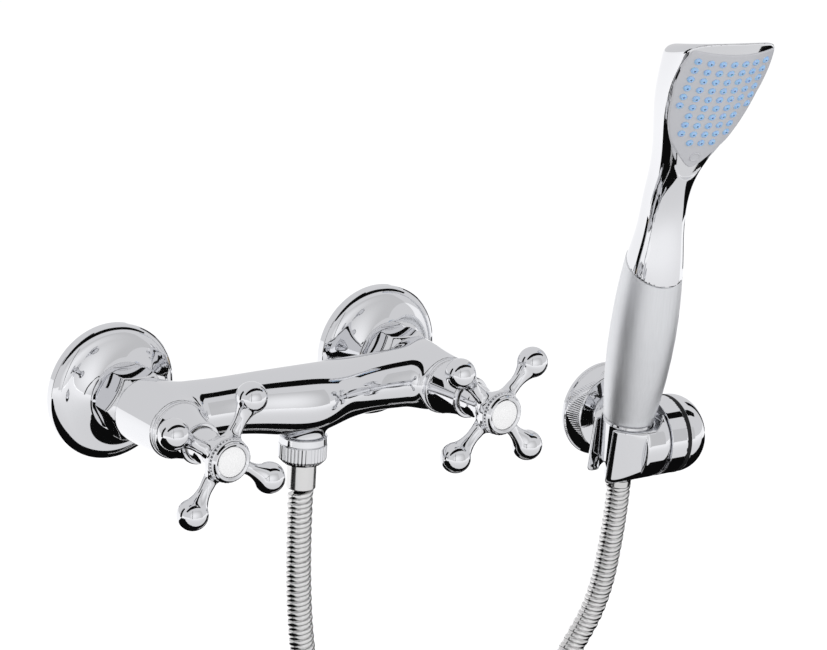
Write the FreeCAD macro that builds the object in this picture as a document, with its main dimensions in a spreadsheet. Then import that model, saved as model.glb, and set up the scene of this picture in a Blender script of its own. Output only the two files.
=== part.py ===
# Wall shower mixer set: a two-handle exposed mixer, a metal hose, a hand shower
# and its swivelling wall bracket. Millimetres, +X right, +Y into the wall, +Z up.
# The origin lies in the wall's face, midway between the two inlets.
import FreeCAD, Part
import Sketcher
import math
import os

V = FreeCAD.Vector
SHEET_NAME = "Sizes"

# Driving dimensions: alias, value, meaning
SIZES = [
    ("inlet_spacing", 150.0, "distance between the two inlets"),
    ("wall_thread_radius", 10.48, "half inch pipe thread in the wall"),
    ("wall_thread_length", 14.0, "length of that thread behind the wall's face"),
    ("wall_thread_drop", 4.0, "eccentric offset of the wall thread"),
    ("union_thread_radius", 13.2, "three quarter inch thread under the union nut"),
    ("connector_collar_radius", 14.9, "collar between the two threads"),
    ("connector_collar_back", 2.5, "depth where the collar starts"),
    ("connector_collar_length", 4.0, "length of the collar"),
    ("connector_front", 22.5, "depth of the connector's front end"),
    ("connector_bore", 7.5, "water bore of the connector"),
    ("thread_clearance", 0.06, "radial clearance of screwed pieces"),
    ("face_gap", 0.3, "gap between faces that lie close but are not joined"),
    ("washer_thickness", 2.0, "thickness of a fibre washer"),
    ("rosette_radius", 33.0, "outer radius of a rosette"),
    ("rosette_lip", 4.6, "depth of the rosette's straight lip"),
    ("rosette_front", 14.5, "depth of the rosette's collar face"),
    ("rosette_collar_radius", 16.8, "radius of the rosette's collar"),
    ("rosette_wall", 1.5, "sheet thickness of a rosette"),
    ("rosette_flare", 31.0, "radius of the rosette's hollow flare"),
    ("nut_flats", 30.0, "distance across the union nut's flats"),
    ("nut_length", 17.4, "length of a union nut"),
    ("nut_flange", 5.2, "thickness of the nut's inner flange"),
    ("tail_radius", 11.2, "radius of the body's tail in the union nut"),
    ("tail_collar", 1.8, "length of the collar that the nut pulls on"),
    ("arm_back", 33.0, "depth where the body's arms start"),
    ("arm_front", 64.2, "depth of the bonnet seat"),
    ("arm_rim_radius", 15.8, "radius of the arm at its back rim"),
    ("arm_seat_radius", 14.2, "radius of the arm at the bonnet seat"),
    ("bar_depth", 47.5, "depth of the bar's axis at the arms"),
    ("bar_root_radius", 15.0, "radius of the bar where it meets an arm"),
    ("waist_radius", 13.9, "radius of the bar at its waists"),
    ("waist_station", 43.0, "distance of a waist from the middle"),
    ("belly_radius", 16.6, "radius of the bar in the middle"),
    ("belly_depth", 55.0, "depth of the bar's axis in the middle"),
    ("bar_rise", 1.2, "height of the bar's axis over the inlets"),
    ("inlet_bore", 8.0, "water bore of an arm"),
    ("chamber_radius", 10.1, "radius of a valve chamber"),
    ("chamber_back", 44.0, "depth where a valve chamber starts"),
    ("cross_bore", 5.5, "bore that joins the chambers to the outlet"),
    ("boss_radius", 10.4, "radius of the outlet boss"),
    ("boss_bottom", 16.2, "depth of the boss's face below the inlets"),
    ("headwork_front", 78.0, "depth of the headwork's front end"),
    ("headwork_neck", 8.0, "radius of the headwork's neck"),
    ("disc_radius", 7.7, "radius of the ceramic discs"),
    ("disc_thickness", 2.2, "thickness of a ceramic disc"),
    ("spindle_radius", 3.6, "radius of a spindle"),
    ("spindle_front", 100.0, "depth of a spindle's front end"),
    ("running_clearance", 0.05, "radial clearance of turning shafts"),
    ("bonnet_radius", 13.5, "radius of a bonnet's base ring"),
    ("bonnet_tip_radius", 9.7, "radius of a bonnet at the handle"),
    ("bonnet_length", 19.6, "length of a bonnet"),
    ("handle_back", 85.6, "depth where a handle's hub starts"),
    ("hub_length", 23.7, "length of a handle's hub"),
    ("hub_radius", 10.6, "radius of a hub's front"),
    ("hub_foot_radius", 8.2, "radius of a hub's foot"),
    ("cross_plane", 17.9, "height of the four arms over the hub's foot"),
    ("ball_radius", 7.4, "radius of a handle's ball ends"),
    ("ball_reach", 29.4, "distance from the handle's axis to a ball's centre"),
    ("handle_arm_neck", 3.3, "radius of a handle arm at its neck"),
    ("left_handle_turn", 60.9, "angle of the left handle's first arm"),
    ("right_handle_turn", 45.1, "angle of the right handle's first arm"),
    ("bezel_radius", 10.35, "outer radius of a bezel"),
    ("bezel_height", 3.6, "height of a bezel"),
    ("bezel_notches", 36.0, "number of milled notches round a bezel"),
    ("button_radius", 7.3, "radius of an index button"),
    ("button_dome", 0.9, "height of an index button's crown"),
    ("handle_screw_radius", 2.0, "radius of a handle screw"),
    ("outlet_thread_radius", 10.4, "half inch thread of the hose outlet"),
    ("outlet_bore", 5.2, "bore of the outlet nipple"),
    ("nipple_plug_radius", 8.4, "radius of the nipple inside the body"),
    ("nipple_thread_length", 8.0, "length of the nipple below the boss"),
    ("hose_nut_radius", 11.7, "outer radius of the hose nut"),
    ("hose_nut_length", 13.6, "length of the hose nut"),
    ("hose_nut_band", 3.4, "height of the hose nut's plain band"),
    ("hose_nut_flutes", 30.0, "number of flutes round the hose nut"),
    ("ferrule_radius", 7.1, "radius of the sleeve at the hose's mixer end"),
    ("ferrule_bottom", 43.0, "depth of that sleeve's end below the inlets"),
    ("hose_radius", 6.25, "outer radius of the hose over its ribs"),
    ("hose_groove", 0.75, "depth of the groove between two ribs"),
    ("hose_bore", 4.4, "bore of the hose"),
    ("rib_pitch", 5.0, "distance from rib to rib"),
    ("rib_land", 2.9, "width of a rib's outer face"),
    ("mixer_ribs", 17.0, "ribs modelled at the mixer's end"),
    ("handset_ribs", 18.0, "ribs modelled at the handset's end"),
    ("coil_radius", 73.0, "radius of the coil at the middle of the hose"),
    ("coil_across", 99.0, "distance of the coil's middle from the mixer's middle"),
    ("coil_drop", 235.0, "depth of the coil's middle below the inlets"),
    ("coil_near", 63.0, "distance from the wall to the coil's front turn"),
    ("coil_pitch", 13.5, "distance from turn to turn"),
    ("coil_turns", 2.5, "number of turns"),
    ("tie_width", 8.0, "width of the strap round the coil"),
    ("tie_thickness", 1.4, "thickness of that strap"),
    ("cup_across", 200.0, "distance of the holder's cup from the mixer's middle"),
    ("barrel_depth", 48.0, "distance from the wall to the bracket's pivot axis"),
    ("barrel_drop", 52.6, "depth of the pivot axis below the inlets"),
    ("barrel_radius", 20.2, "radius of the bracket's barrel"),
    ("cup_tilt", 7.5, "tilt of the hand shower at rest"),
    ("cup_end_radius", 16.8, "radius of the holder's rounded end"),
    ("cup_rim_height", 12.0, "height of the cup's rim over the pivot axis"),
    ("cup_rim_radius", 16.9, "radius of the flat round the cup's rim"),
    ("cup_mouth_radius", 13.2, "radius of the cup's cone at the rim"),
    ("cup_foot_radius", 10.1, "radius of the cup's cone at the bottom"),
    ("cup_slot", 14.2, "width of the slot that the hose passes through"),
    ("holder_right", 215.5, "distance of the holder's inner face from the middle"),
    ("arm_ring_width", 9.8, "width of the bracket arm's ring"),
    ("plate_radius", 25.0, "radius of the bracket's wall plate cover"),
    ("plate_lip", 2.4, "thickness of the cover's lip"),
    ("plate_band_foot", 23.9, "radius of the ribbed band at its foot"),
    ("plate_face_radius", 20.4, "radius of the cover's face"),
    ("plate_front", 10.0, "depth of the cover's face"),
    ("plate_ribs", 60.0, "number of grooves round the cover's band"),
    ("backplate_radius", 21.5, "radius of the hidden back plate"),
    ("backplate_thickness", 4.0, "thickness of the hidden back plate"),
    ("screw_spacing", 28.0, "distance between the two wall screws"),
    ("screw_hole_radius", 2.4, "radius of a wall screw hole"),
    ("neck_foot_radius", 13.0, "radius of the bracket's neck at the cover"),
    ("neck_radius", 5.1, "radius of the neck at the barrel"),
    ("neck_flare", 5.607, "what the neck's arc has over half its length"),
    ("neck_socket", 7.0, "radius of the stub that the neck screws on"),
    ("pivot_radius", 3.0, "radius of the pivot screw"),
    ("pivot_head_radius", 5.0, "radius of the pivot screw's head"),
    ("ring_section", 1.15, "section radius of the black sealing ring"),
    ("dome_shoulder", 1.5, "length of the end cap's straight part"),
    ("dome_corner", 15.0, "radius of the end cap's rounded corner"),
    ("dome_turn", 55.0, "angle through which that corner turns"),
    ("cup_ball_extra", 4.2, "ball that rounds the holder's corners, over the barrel's radius"),
    ("cone_top_radius", 12.85, "radius of the cone nut at its top"),
    ("cone_foot_radius", 10.85, "radius of the cone nut at the end of its cone"),
    ("cone_length", 23.0, "length of the cone nut's cone"),
    ("cone_tail_radius", 7.6, "radius of the cone nut's foot"),
    ("cone_tail_length", 10.0, "length from the cone's end to the foot"),
    ("sleeve_radius", 6.8, "radius of the sleeve at the hose's handset end"),
    ("sleeve_length", 4.0, "length of that sleeve below the cone nut"),
    ("handset_lift", 30.0, "travel that takes the handset out of its cup"),
    ("grip_end_radius", 13.0, "radius of the grip at its lower end"),
    ("grip_top_radius", 14.0, "radius of the grip at its upper end"),
    ("grip_length", 91.0, "length of the grip"),
    ("grip_belly", 3.3, "swell of the grip over its ends"),
    ("seam_height", 85.0, "height of the slanted seam over the grip's end"),
    ("seam_slant", 22.0, "slant of that seam"),
    ("tube_radius", 9.3, "radius of the inner water tube"),
    ("tube_bore", 6.0, "bore of the inner water tube"),
    ("tube_reach", 14.0, "how far the water tube reaches past the seam"),
    ("head_spin", -9.0, "turn of the hand shower in its cup at rest"),
    ("neck_height", 121.0, "height of the narrowest place"),
    ("head_neck_radius", 11.4, "radius of the narrowest place"),
    ("head_top", 219.0, "height of the top edge"),
    ("head_flare", 130.0, "height where the head starts to widen"),
    ("head_shoulder", 195.0, "height where the head has its full width"),
    ("head_half_width", 26.0, "half of the head's width"),
    ("head_back", 5.0, "how far the head's back lies in front of the axis at the top"),
    ("face_pitch", 20.7, "angle between the spray face and the axis"),
    ("face_crown", 55.0, "radius of the spray face across its width"),
    ("face_row_height", 206.7, "height of the first nozzle row"),
    ("face_row_reach", 40.6, "distance of the first nozzle row from the axis"),
    ("top_slope", 19.0, "fall of the head's top towards its back"),
    ("plate_half_width", 22.9, "half of the spray plate's width at its top"),
    ("plate_over_row", 5.8, "spray plate above the first row"),
    ("plate_tip", 72.0, "distance from the first row to the plate's tip"),
    ("plate_depth", 2.2, "thickness of the spray plate"),
    ("plate_proud", 0.5, "spray plate's stand over the head's rim"),
    ("nozzle_pitch", 6.15, "distance from nozzle to nozzle across the face"),
    ("nozzle_row_pitch", 5.57, "distance from row to row"),
    ("nozzle_radius", 1.75, "radius of a soft nozzle"),
    ("nozzle_height", 0.9, "height of a nozzle over the spray plate"),
    ("nozzle_sides", 8.0, "flats round a moulded nozzle"),
    ("mat_thickness", 1.4, "thickness of the soft mat behind the plate"),
    ("chamber_margin", 3.5, "water chamber's edge inside the spray plate's"),
    ("chamber_depth", 18.0, "depth of the water chamber behind the spray face"),
    ("chamber_drop", 14.0, "how far the water chamber's top lies below the plate's top"),
    ("cap_radius", 2.9, "radius of the plain cap over the plate's screw"),
]


class Size:
    """A number together with the sheet formula that gives it."""

    def __init__(self, number, text=None):
        self.number = float(number)
        self.bound = text is not None
        self.text = text if self.bound else repr(float(number))

    def _join(self, other, sign, number):
        other = as_size(other)
        joined = Size(number, "(%s %s %s)" % (self.text, sign, other.text))
        joined.bound = self.bound or other.bound
        return joined

    def __add__(self, other):
        return self._join(other, "+", self.number + as_size(other).number)

    def __sub__(self, other):
        return self._join(other, "-", self.number - as_size(other).number)

    def __mul__(self, other):
        return self._join(other, "*", self.number * as_size(other).number)

    def __truediv__(self, other):
        return self._join(other, "/", self.number / as_size(other).number)

    def __radd__(self, other):
        return as_size(other) + self

    def __rsub__(self, other):
        return as_size(other) - self

    def __rmul__(self, other):
        return as_size(other) * self

    def __neg__(self):
        return as_size(-1.0) * self


def as_size(value):
    return value if isinstance(value, Size) else Size(value)


def trig(name, angle):
    """The sine, cosine or tangent of an angle in degrees."""
    number = {"sin": math.sin, "cos": math.cos, "tan": math.tan}[name](math.radians(angle.number))
    return Size(number, "%s(%s)" % (name, angle.text))


doc = FreeCAD.newDocument("shower_mixer_set")
sheet = doc.addObject("Spreadsheet::Sheet", SHEET_NAME)
K = {}
for row, (alias, value, meaning) in enumerate(SIZES, start=1):
    sheet.set("A%d" % row, alias)
    sheet.set("B%d" % row, str(value))
    sheet.set("C%d" % row, meaning)
    sheet.setAlias("B%d" % row, alias)
    K[alias] = Size(value, "%s.%s" % (SHEET_NAME, alias))
doc.recompute()

OUTWARD = FreeCAD.Rotation(V(1, 0, 0), 90)
RIGHTWARD = FreeCAD.Rotation(V(0, 1, 0), 90)
DOWNWARD = FreeCAD.Rotation(V(1, 0, 0), 180)
UPRIGHT = FreeCAD.Rotation()
TILTED = FreeCAD.Rotation(V(1, 0, 0), K["cup_tilt"].number)
SPUN = TILTED.multiply(FreeCAD.Rotation(V(0, 0, 1), K["head_spin"].number))
nodes = []


def node(piece, name):
    """Name a finished piece."""
    piece.Label = name
    nodes.append(piece)
    return piece


def bind(piece, **sizes):
    for name, value in sizes.items():
        value = as_size(value)
        whole = "Integer" in piece.getTypeIdOfProperty(name)
        setattr(piece, name, int(value.number) if whole else value.number)
        if value.bound:
            piece.setExpression(name, value.text)
    return piece


def place(piece, at=(0, 0, 0), turn=UPRIGHT):
    at = [as_size(c) for c in at]
    piece.Placement = FreeCAD.Placement(V(*[c.number for c in at]), turn)
    for letter, c in zip("xyz", at):
        if c.bound:
            piece.setExpression("Placement.Base." + letter, c.text)
    return piece


def cylinder(name, radius, height, at=(0, 0, 0), turn=UPRIGHT):
    piece = doc.addObject("Part::Cylinder", name)
    return place(bind(piece, Radius=radius, Height=height), at, turn)


def cone(name, radius_1, radius_2, height, at=(0, 0, 0), turn=UPRIGHT):
    piece = doc.addObject("Part::Cone", name)
    return place(bind(piece, Radius1=radius_1, Radius2=radius_2, Height=height), at, turn)


def box(name, length, width, height, at=(0, 0, 0), turn=UPRIGHT):
    piece = doc.addObject("Part::Box", name)
    return place(bind(piece, Length=length, Width=width, Height=height), at, turn)


def prism(name, sides, radius, height, at=(0, 0, 0), turn=UPRIGHT):
    piece = doc.addObject("Part::Prism", name)
    return place(bind(piece, Polygon=sides, Circumradius=radius, Height=height), at, turn)


def fuse(name, pieces):
    piece = doc.addObject("Part::MultiFuse", name)
    piece.Shapes = pieces
    return piece


def cut(name, base, tool):
    piece = doc.addObject("Part::Cut", name)
    piece.Base = base
    piece.Tool = fuse(name + "_tools", tool) if isinstance(tool, list) else tool
    return piece


def cut_each(name, base, tools):
    """Cut several tools one after the other."""
    for i, tool in enumerate(tools[:-1]):
        base = cut("%s_%d" % (name, i + 1), base, tool)
    return cut(name, base, tools[-1])


def common(name, pieces):
    piece = doc.addObject("Part::MultiCommon", name)
    piece.Shapes = pieces
    return piece


def group(name, pieces):
    piece = doc.addObject("Part::Compound", name)
    piece.Links = pieces
    return piece


def origin_feature(body, role):
    return [f for f in body.Origin.OriginFeatures if f.Role == role][0]


def outline(body, name, role, corners):
    """A closed sketch. A corner is (x, y) or (x, y, radius, side): then an arc of that radius
    arrives there, with its centre on the left or right of the way round."""
    sketch = body.newObject("Sketcher::SketchObject", name)
    sketch.AttachmentSupport = [(origin_feature(body, role), "")]
    sketch.MapMode = "FlatFace"
    points = [(as_size(c[0]), as_size(c[1])) for c in corners]
    edges, ends = [], []
    for i, start in enumerate(points):
        following = (i + 1) % len(points)
        a = V(start[0].number, start[1].number, 0)
        b = V(points[following][0].number, points[following][1].number, 0)
        if len(corners[following]) == 2:
            edges.append(Part.LineSegment(a, b))
            ends.append((1, 2))
            continue
        radius, side = as_size(corners[following][2]).number, corners[following][3]
        chord = b.sub(a)
        sagitta_leg = math.sqrt(max(radius ** 2 - chord.Length ** 2 / 4.0, 0.0))
        normal = V(-chord.y, chord.x, 0).normalize()
        sign = 1.0 if side == "left" else -1.0
        centre = a.add(b).multiply(0.5).add(normal.multiply(sign * sagitta_leg))
        first, last = (a, b) if side == "left" else (b, a)
        begin = math.atan2(first.y - centre.y, first.x - centre.x)
        end = math.atan2(last.y - centre.y, last.x - centre.x)
        if end < begin:
            end += 2.0 * math.pi
        edges.append(Part.ArcOfCircle(Part.Circle(centre, V(0, 0, 1), radius), begin, end))
        ends.append((1, 2) if side == "left" else (2, 1))
    sketch.addGeometry(edges, False)
    bindings = []
    for i, (x, y) in enumerate(points):
        following = (i + 1) % len(points)
        sketch.addConstraint(Sketcher.Constraint("Coincident", i, ends[i][1],
                                                 following, ends[following][0]))
        for kind, value, axis in (("DistanceX", x, -2), ("DistanceY", y, -1)):
            if value.number == 0.0:
                sketch.addConstraint(Sketcher.Constraint("PointOnObject", i, ends[i][0], axis))
                continue
            index = sketch.addConstraint(
                Sketcher.Constraint(kind, -1, 1, i, ends[i][0], value.number))
            bindings.append((index, value))
        if len(corners[following]) > 2:
            radius = as_size(corners[following][2])
            index = sketch.addConstraint(Sketcher.Constraint("Radius", i, radius.number))
            bindings.append((index, radius))
    for index, value in bindings:
        if value.bound:
            sketch.renameConstraint(index, "c%d" % index)
            sketch.setExpression("Constraints.c%d" % index, value.text)
    return sketch


def turned(name, corners, at=(0, 0, 0), turn=UPRIGHT):
    """A turned piece: its outline of (radius, height) corners, revolved about its own Z."""
    body = doc.addObject("PartDesign::Body", name)
    sketch = outline(body, name + "_outline", "XZ_Plane", corners)
    revolve = body.newObject("PartDesign::Revolution", name + "_revolve")
    revolve.Profile = sketch
    revolve.ReferenceAxis = (sketch, ["V_Axis"])
    revolve.Angle = 360.0
    return place(body, at, turn)


def tube(outer, inner, bottom, top):
    """The outline of a plain ring."""
    return [(inner, bottom), (outer, bottom), (outer, top), (inner, top)]


def notched(body, name, corners, length, count, start=0.0):
    """Repeat a small cut round a body: a sketch on its base plane, pocketed upwards."""
    sketch = outline(body, name + "_notch", "XY_Plane", corners)
    sketch.AttachmentOffset = FreeCAD.Placement(V(0, 0, as_size(start).number), FreeCAD.Rotation())
    if as_size(start).bound:
        sketch.setExpression(".AttachmentOffset.Base.z", start.text)
    pocket = body.newObject("PartDesign::Pocket", name + "_pocket")
    pocket.Profile = sketch
    pocket.Type = "Length"
    bind(pocket, Length=length)
    pocket.Reversed = True
    pattern = body.newObject("PartDesign::PolarPattern", name + "_pattern")
    pattern.Originals = [pocket]
    pattern.Axis = (sketch, ["N_Axis"])
    pattern.Angle = 360.0
    bind(pattern, Occurrences=count)
    body.Tip = pattern
    return body


# Wall connectors, rosettes, union nuts and washers
half_spacing = K["inlet_spacing"] / 2.0
nut_back = K["rosette_front"] + K["face_gap"]
nut_front = nut_back + K["nut_length"]
flange_back = nut_front - K["nut_flange"]
tail_back = K["connector_front"] + K["washer_thickness"]


def wall_connector(side, sign):
    x = half_spacing * sign
    wall_end = cylinder("wall_thread_" + side, K["wall_thread_radius"],
                        K["wall_thread_length"] + K["connector_collar_back"],
                        (x, K["wall_thread_length"], -K["wall_thread_drop"]), OUTWARD)
    collar = cylinder("collar_" + side, K["connector_collar_radius"],
                      K["connector_collar_length"], (x, -K["connector_collar_back"], 0), OUTWARD)
    front = cylinder("union_thread_" + side, K["union_thread_radius"],
                     K["connector_front"] - K["connector_collar_back"],
                     (x, -K["connector_collar_back"], 0), OUTWARD)
    middle = K["connector_collar_back"] + K["connector_collar_length"] / 2.0
    back_bore = cylinder("back_bore_" + side, K["connector_bore"],
                         K["wall_thread_length"] + middle + 1.0,
                         (x, K["wall_thread_length"] + 1.0, -K["wall_thread_drop"]), OUTWARD)
    front_bore = cylinder("front_bore_" + side, K["connector_bore"],
                          K["connector_front"] - middle + 1.0, (x, -middle, 0), OUTWARD)
    solid = fuse("connector_solid_" + side, [wall_end, collar, front])
    node(cut("connector_" + side, solid, [back_bore, front_bore]), "wall_connector_" + side)


def rosette(side, sign):
    hole = K["union_thread_radius"] + K["thread_clearance"]
    shoulder = K["rosette_lip"] + 0.9
    rim = K["rosette_radius"] - 0.9
    wall = K["rosette_wall"]
    collar = K["rosette_collar_radius"]
    front = K["rosette_front"]
    corners = [
        (K["rosette_radius"] - wall, 0), (K["rosette_radius"], 0),
        (K["rosette_radius"], K["rosette_lip"]), (rim, shoulder, 1.1, "left"),
        (collar + 0.8, front - 2.0, K["rosette_flare"], "right"), (collar, front - 1.4),
        (collar, front - 0.5), (collar - 0.5, front), (hole, front), (hole, front - 3.6),
        (collar - 0.2, front - 3.6),
        (rim - wall, shoulder - wall, K["rosette_flare"] - wall, "left"),
        (K["rosette_radius"] - wall, K["rosette_lip"] - wall),
    ]
    node(turned("rosette_body_" + side, corners, (half_spacing * sign, 0, 0), OUTWARD),
         "rosette_" + side)


def union_nut(side, sign):
    x = half_spacing * sign
    corner_radius = K["nut_flats"] / 2.0 / trig("cos", Size(30.0))
    hexagon = prism("nut_hexagon_" + side, 6, corner_radius, K["nut_length"],
                    (x, -nut_back, 0), OUTWARD)
    crown = corner_radius - K["nut_flats"] / 2.0 + 0.4
    rounding = turned("nut_rounding_" + side, [
        (0, 0), (corner_radius - crown, 0), (corner_radius + 0.1, crown * 0.6),
        (corner_radius + 0.1, K["nut_length"] - crown * 0.9),
        (corner_radius - crown * 0.7, K["nut_length"]), (0, K["nut_length"])],
        (x, -nut_back, 0), OUTWARD)
    blank = common("nut_blank_" + side, [hexagon, rounding])
    thread = cylinder("nut_thread_" + side, K["union_thread_radius"] + K["thread_clearance"],
                      flange_back - nut_back + 1.0, (x, -nut_back + 1.0, 0), OUTWARD)
    hole = cylinder("nut_hole_" + side, K["tail_radius"] + K["thread_clearance"],
                    K["nut_length"] + 2.0, (x, -nut_back + 1.0, 0), OUTWARD)
    node(cut("nut_" + side, blank, [thread, hole]), "union_nut_" + side)


def inlet_washers():
    rings = []
    for side, sign in (("left", -1), ("right", 1)):
        rings.append(turned("inlet_washer_" + side, tube(
            K["union_thread_radius"] - 0.4, K["inlet_bore"], 0, K["washer_thickness"]),
            (half_spacing * sign, -K["connector_front"], 0), OUTWARD))
    node(group("inlet_washer_pair", rings), "inlet_washers")


# Mixer body: two arms, a bowed bar through circles, an outlet boss and the water bores
def arm_solid(side, sign):
    collar = K["union_thread_radius"] - 0.3
    flange = tail_back + K["tail_collar"]
    corners = [
        (0, tail_back), (collar, tail_back), (collar, flange), (K["tail_radius"], flange),
        (K["tail_radius"], K["arm_back"]), (K["arm_rim_radius"] - 0.6, K["arm_back"]),
        (K["arm_rim_radius"], K["arm_back"] + 0.6), (K["arm_rim_radius"], K["arm_back"] + 2.0),
        (K["arm_seat_radius"], K["arm_front"] - 0.5), (K["arm_seat_radius"] - 0.5, K["arm_front"]),
        (0, K["arm_front"]),
    ]
    return turned("arm_" + side, corners, (half_spacing * sign, 0, 0), OUTWARD)


def bar_solid():
    """A loft through circles: full in the middle, slim at the waists, bowed off the wall."""
    shares = [(-1.0, 0.0), (-0.45, 0.0), (0.0, 0.0), (0.45, 0.36), (0.78, 0.86), (1.0, 1.0)]
    stations = []
    for share, bow in shares:
        if share < 0:
            x = K["waist_station"] - share * (half_spacing - K["waist_station"])
            radius = K["waist_radius"] - share * (K["bar_root_radius"] - K["waist_radius"])
        else:
            x = K["waist_station"] * (1.0 - share)
            radius = K["waist_radius"] + bow * (K["belly_radius"] - K["waist_radius"])
        depth = K["bar_depth"] + bow * (K["belly_depth"] - K["bar_depth"])
        stations.append((x, radius, depth))
    mirrored = [(-x, radius, depth) for x, radius, depth in stations]
    circles = []
    for x, radius, depth in mirrored + stations[-2::-1]:
        circle = doc.addObject("Part::Circle", "bar_circle_%d" % len(circles))
        bind(circle, Radius=radius)
        circles.append(place(circle, (x, -depth, K["bar_rise"]), RIGHTWARD))
    loft = doc.addObject("Part::Loft", "bar_loft")
    loft.Sections = circles
    loft.Solid = True
    loft.Ruled = False
    return loft


def mixer_body():
    boss = cylinder("outlet_boss", K["boss_radius"], K["boss_bottom"] - 3.0,
                    (0, -K["belly_depth"], -K["boss_bottom"]))
    solid = fuse("mixer_solid", [arm_solid("left", -1), arm_solid("right", 1), bar_solid(), boss])
    bores = []
    for side, sign in (("left", -1), ("right", 1)):
        x = half_spacing * sign
        bores.append(cylinder("inlet_bore_" + side, K["inlet_bore"],
                              K["chamber_back"] - tail_back + 2.0, (x, 1.0 - tail_back, 0), OUTWARD))
        bores.append(cylinder("chamber_" + side, K["chamber_radius"],
                              K["arm_front"] - K["chamber_back"] + 1.0,
                              (x, -K["chamber_back"], 0), OUTWARD))
    bores.append(cylinder("cross_channel", K["cross_bore"], K["inlet_spacing"],
                          (-half_spacing, -K["belly_depth"], K["bar_rise"]), RIGHTWARD))
    bores.append(cylinder("outlet_socket", K["nipple_plug_radius"] + K["thread_clearance"],
                          K["boss_bottom"] - 4.0, (0, -K["belly_depth"], -K["boss_bottom"] - 1.0)))
    bores.append(cylinder("outlet_channel", K["cross_bore"], K["boss_bottom"],
                          (0, -K["belly_depth"], -K["boss_bottom"])))
    node(cut("mixer_casting", solid, bores), "mixer_body")


# Valves: ceramic headwork, spindle, bonnet and cross handle
def headwork(side, sign):
    x = half_spacing * sign
    outer = K["chamber_radius"] - K["thread_clearance"]
    bore = K["spindle_radius"] + K["running_clearance"]
    chamber = K["disc_radius"] + K["running_clearance"]
    back = K["chamber_back"] + K["face_gap"]
    disc_room = back + 3.0 * K["disc_thickness"]
    seat = K["arm_front"]
    corners = [
        (chamber, back), (outer, back), (outer, seat + 1.2), (K["headwork_neck"], seat + 2.2),
        (K["headwork_neck"], K["headwork_front"]), (bore, K["headwork_front"]),
        (bore, disc_room), (chamber, disc_room),
    ]
    node(turned("headwork_body_" + side, corners, (x, 0, 0), OUTWARD), "headwork_" + side)
    rotor_back = back + K["disc_thickness"] + K["running_clearance"]
    rotor = turned("rotor_" + side, [
        (0, rotor_back), (K["disc_radius"], rotor_back),
        (K["disc_radius"], rotor_back + K["disc_thickness"]), (0, rotor_back + K["disc_thickness"])],
        (x, 0, 0), OUTWARD)
    window = box("rotor_window_" + side, K["disc_radius"] * 0.7, K["disc_radius"] * 0.54,
                 3.0 * K["disc_thickness"], (x + 1.2, -rotor_back + 1.0, -K["disc_radius"] * 0.27),
                 OUTWARD)
    node(cut("rotor_disc_" + side, rotor, window), "ceramic_rotor_" + side)
    spindle_back = rotor_back + K["disc_thickness"] + K["running_clearance"]
    flange = K["disc_radius"] - 0.5
    screw_hole = K["handle_screw_radius"] + K["thread_clearance"]
    screw_room = K["spindle_front"] - 12.0
    corners = [
        (0, spindle_back), (flange, spindle_back), (flange, disc_room - 0.1),
        (K["spindle_radius"], disc_room - 0.1), (K["spindle_radius"], K["spindle_front"] - 0.5),
        (K["spindle_radius"] - 0.5, K["spindle_front"]), (screw_hole, K["spindle_front"]),
        (screw_hole, screw_room), (0, screw_room),
    ]
    node(turned("spindle_body_" + side, corners, (x, 0, 0), OUTWARD), "spindle_" + side)


def ceramic_seats():
    seats = []
    for side, sign in (("left", -1), ("right", 1)):
        back = K["chamber_back"] + K["face_gap"]
        x = half_spacing * sign
        disc = turned("seat_" + side, [
            (0, back), (K["disc_radius"], back), (K["disc_radius"], back + K["disc_thickness"]),
            (0, back + K["disc_thickness"])], (x, 0, 0), OUTWARD)
        window = box("seat_window_" + side, K["disc_radius"] * 0.54, K["disc_radius"] * 0.7,
                     3.0 * K["disc_thickness"],
                     (x - K["disc_radius"] * 0.27, -back + 1.0, 1.2), OUTWARD)
        seats.append(cut("seat_disc_" + side, disc, window))
    node(group("ceramic_seat_pair", seats), "ceramic_seats")


def headwork_seals():
    seals = []
    for side, sign in (("left", -1), ("right", 1)):
        section = 0.95
        seals.append(turned("seal_" + side, [
            (K["headwork_neck"] + 0.05, 0), (K["headwork_neck"] + 2.0 * section, 0),
            (K["headwork_neck"] + 2.0 * section, 2.0 * section),
            (K["headwork_neck"] + 0.05, 2.0 * section)],
            (half_spacing * sign, -K["arm_front"] - 2.4, 0), OUTWARD))
    node(group("headwork_seal_pair", seals), "headwork_seals")


def bonnet(side, sign):
    back = K["arm_front"] + 0.1
    front = back + K["bonnet_length"]
    ring = K["bonnet_radius"]
    inner = K["headwork_neck"] + K["face_gap"]
    base = K["headwork_neck"] + 2.4
    corners = [
        (base, back), (ring - 0.3, back), (ring, back + 0.3), (ring, back + 1.5),
        (ring - 0.55, back + 1.9), (ring - 0.1, back + 2.4), (ring - 0.3, back + 3.6),
        (K["bonnet_tip_radius"] + 0.5, front - 1.0, 60.0, "right"),
        (K["bonnet_tip_radius"], front), (inner, front), (inner, back + 5.6),
        (base, back + 4.8),
    ]
    node(turned("bonnet_body_" + side, corners, (half_spacing * sign, 0, 0), OUTWARD),
         "bonnet_" + side)


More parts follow.
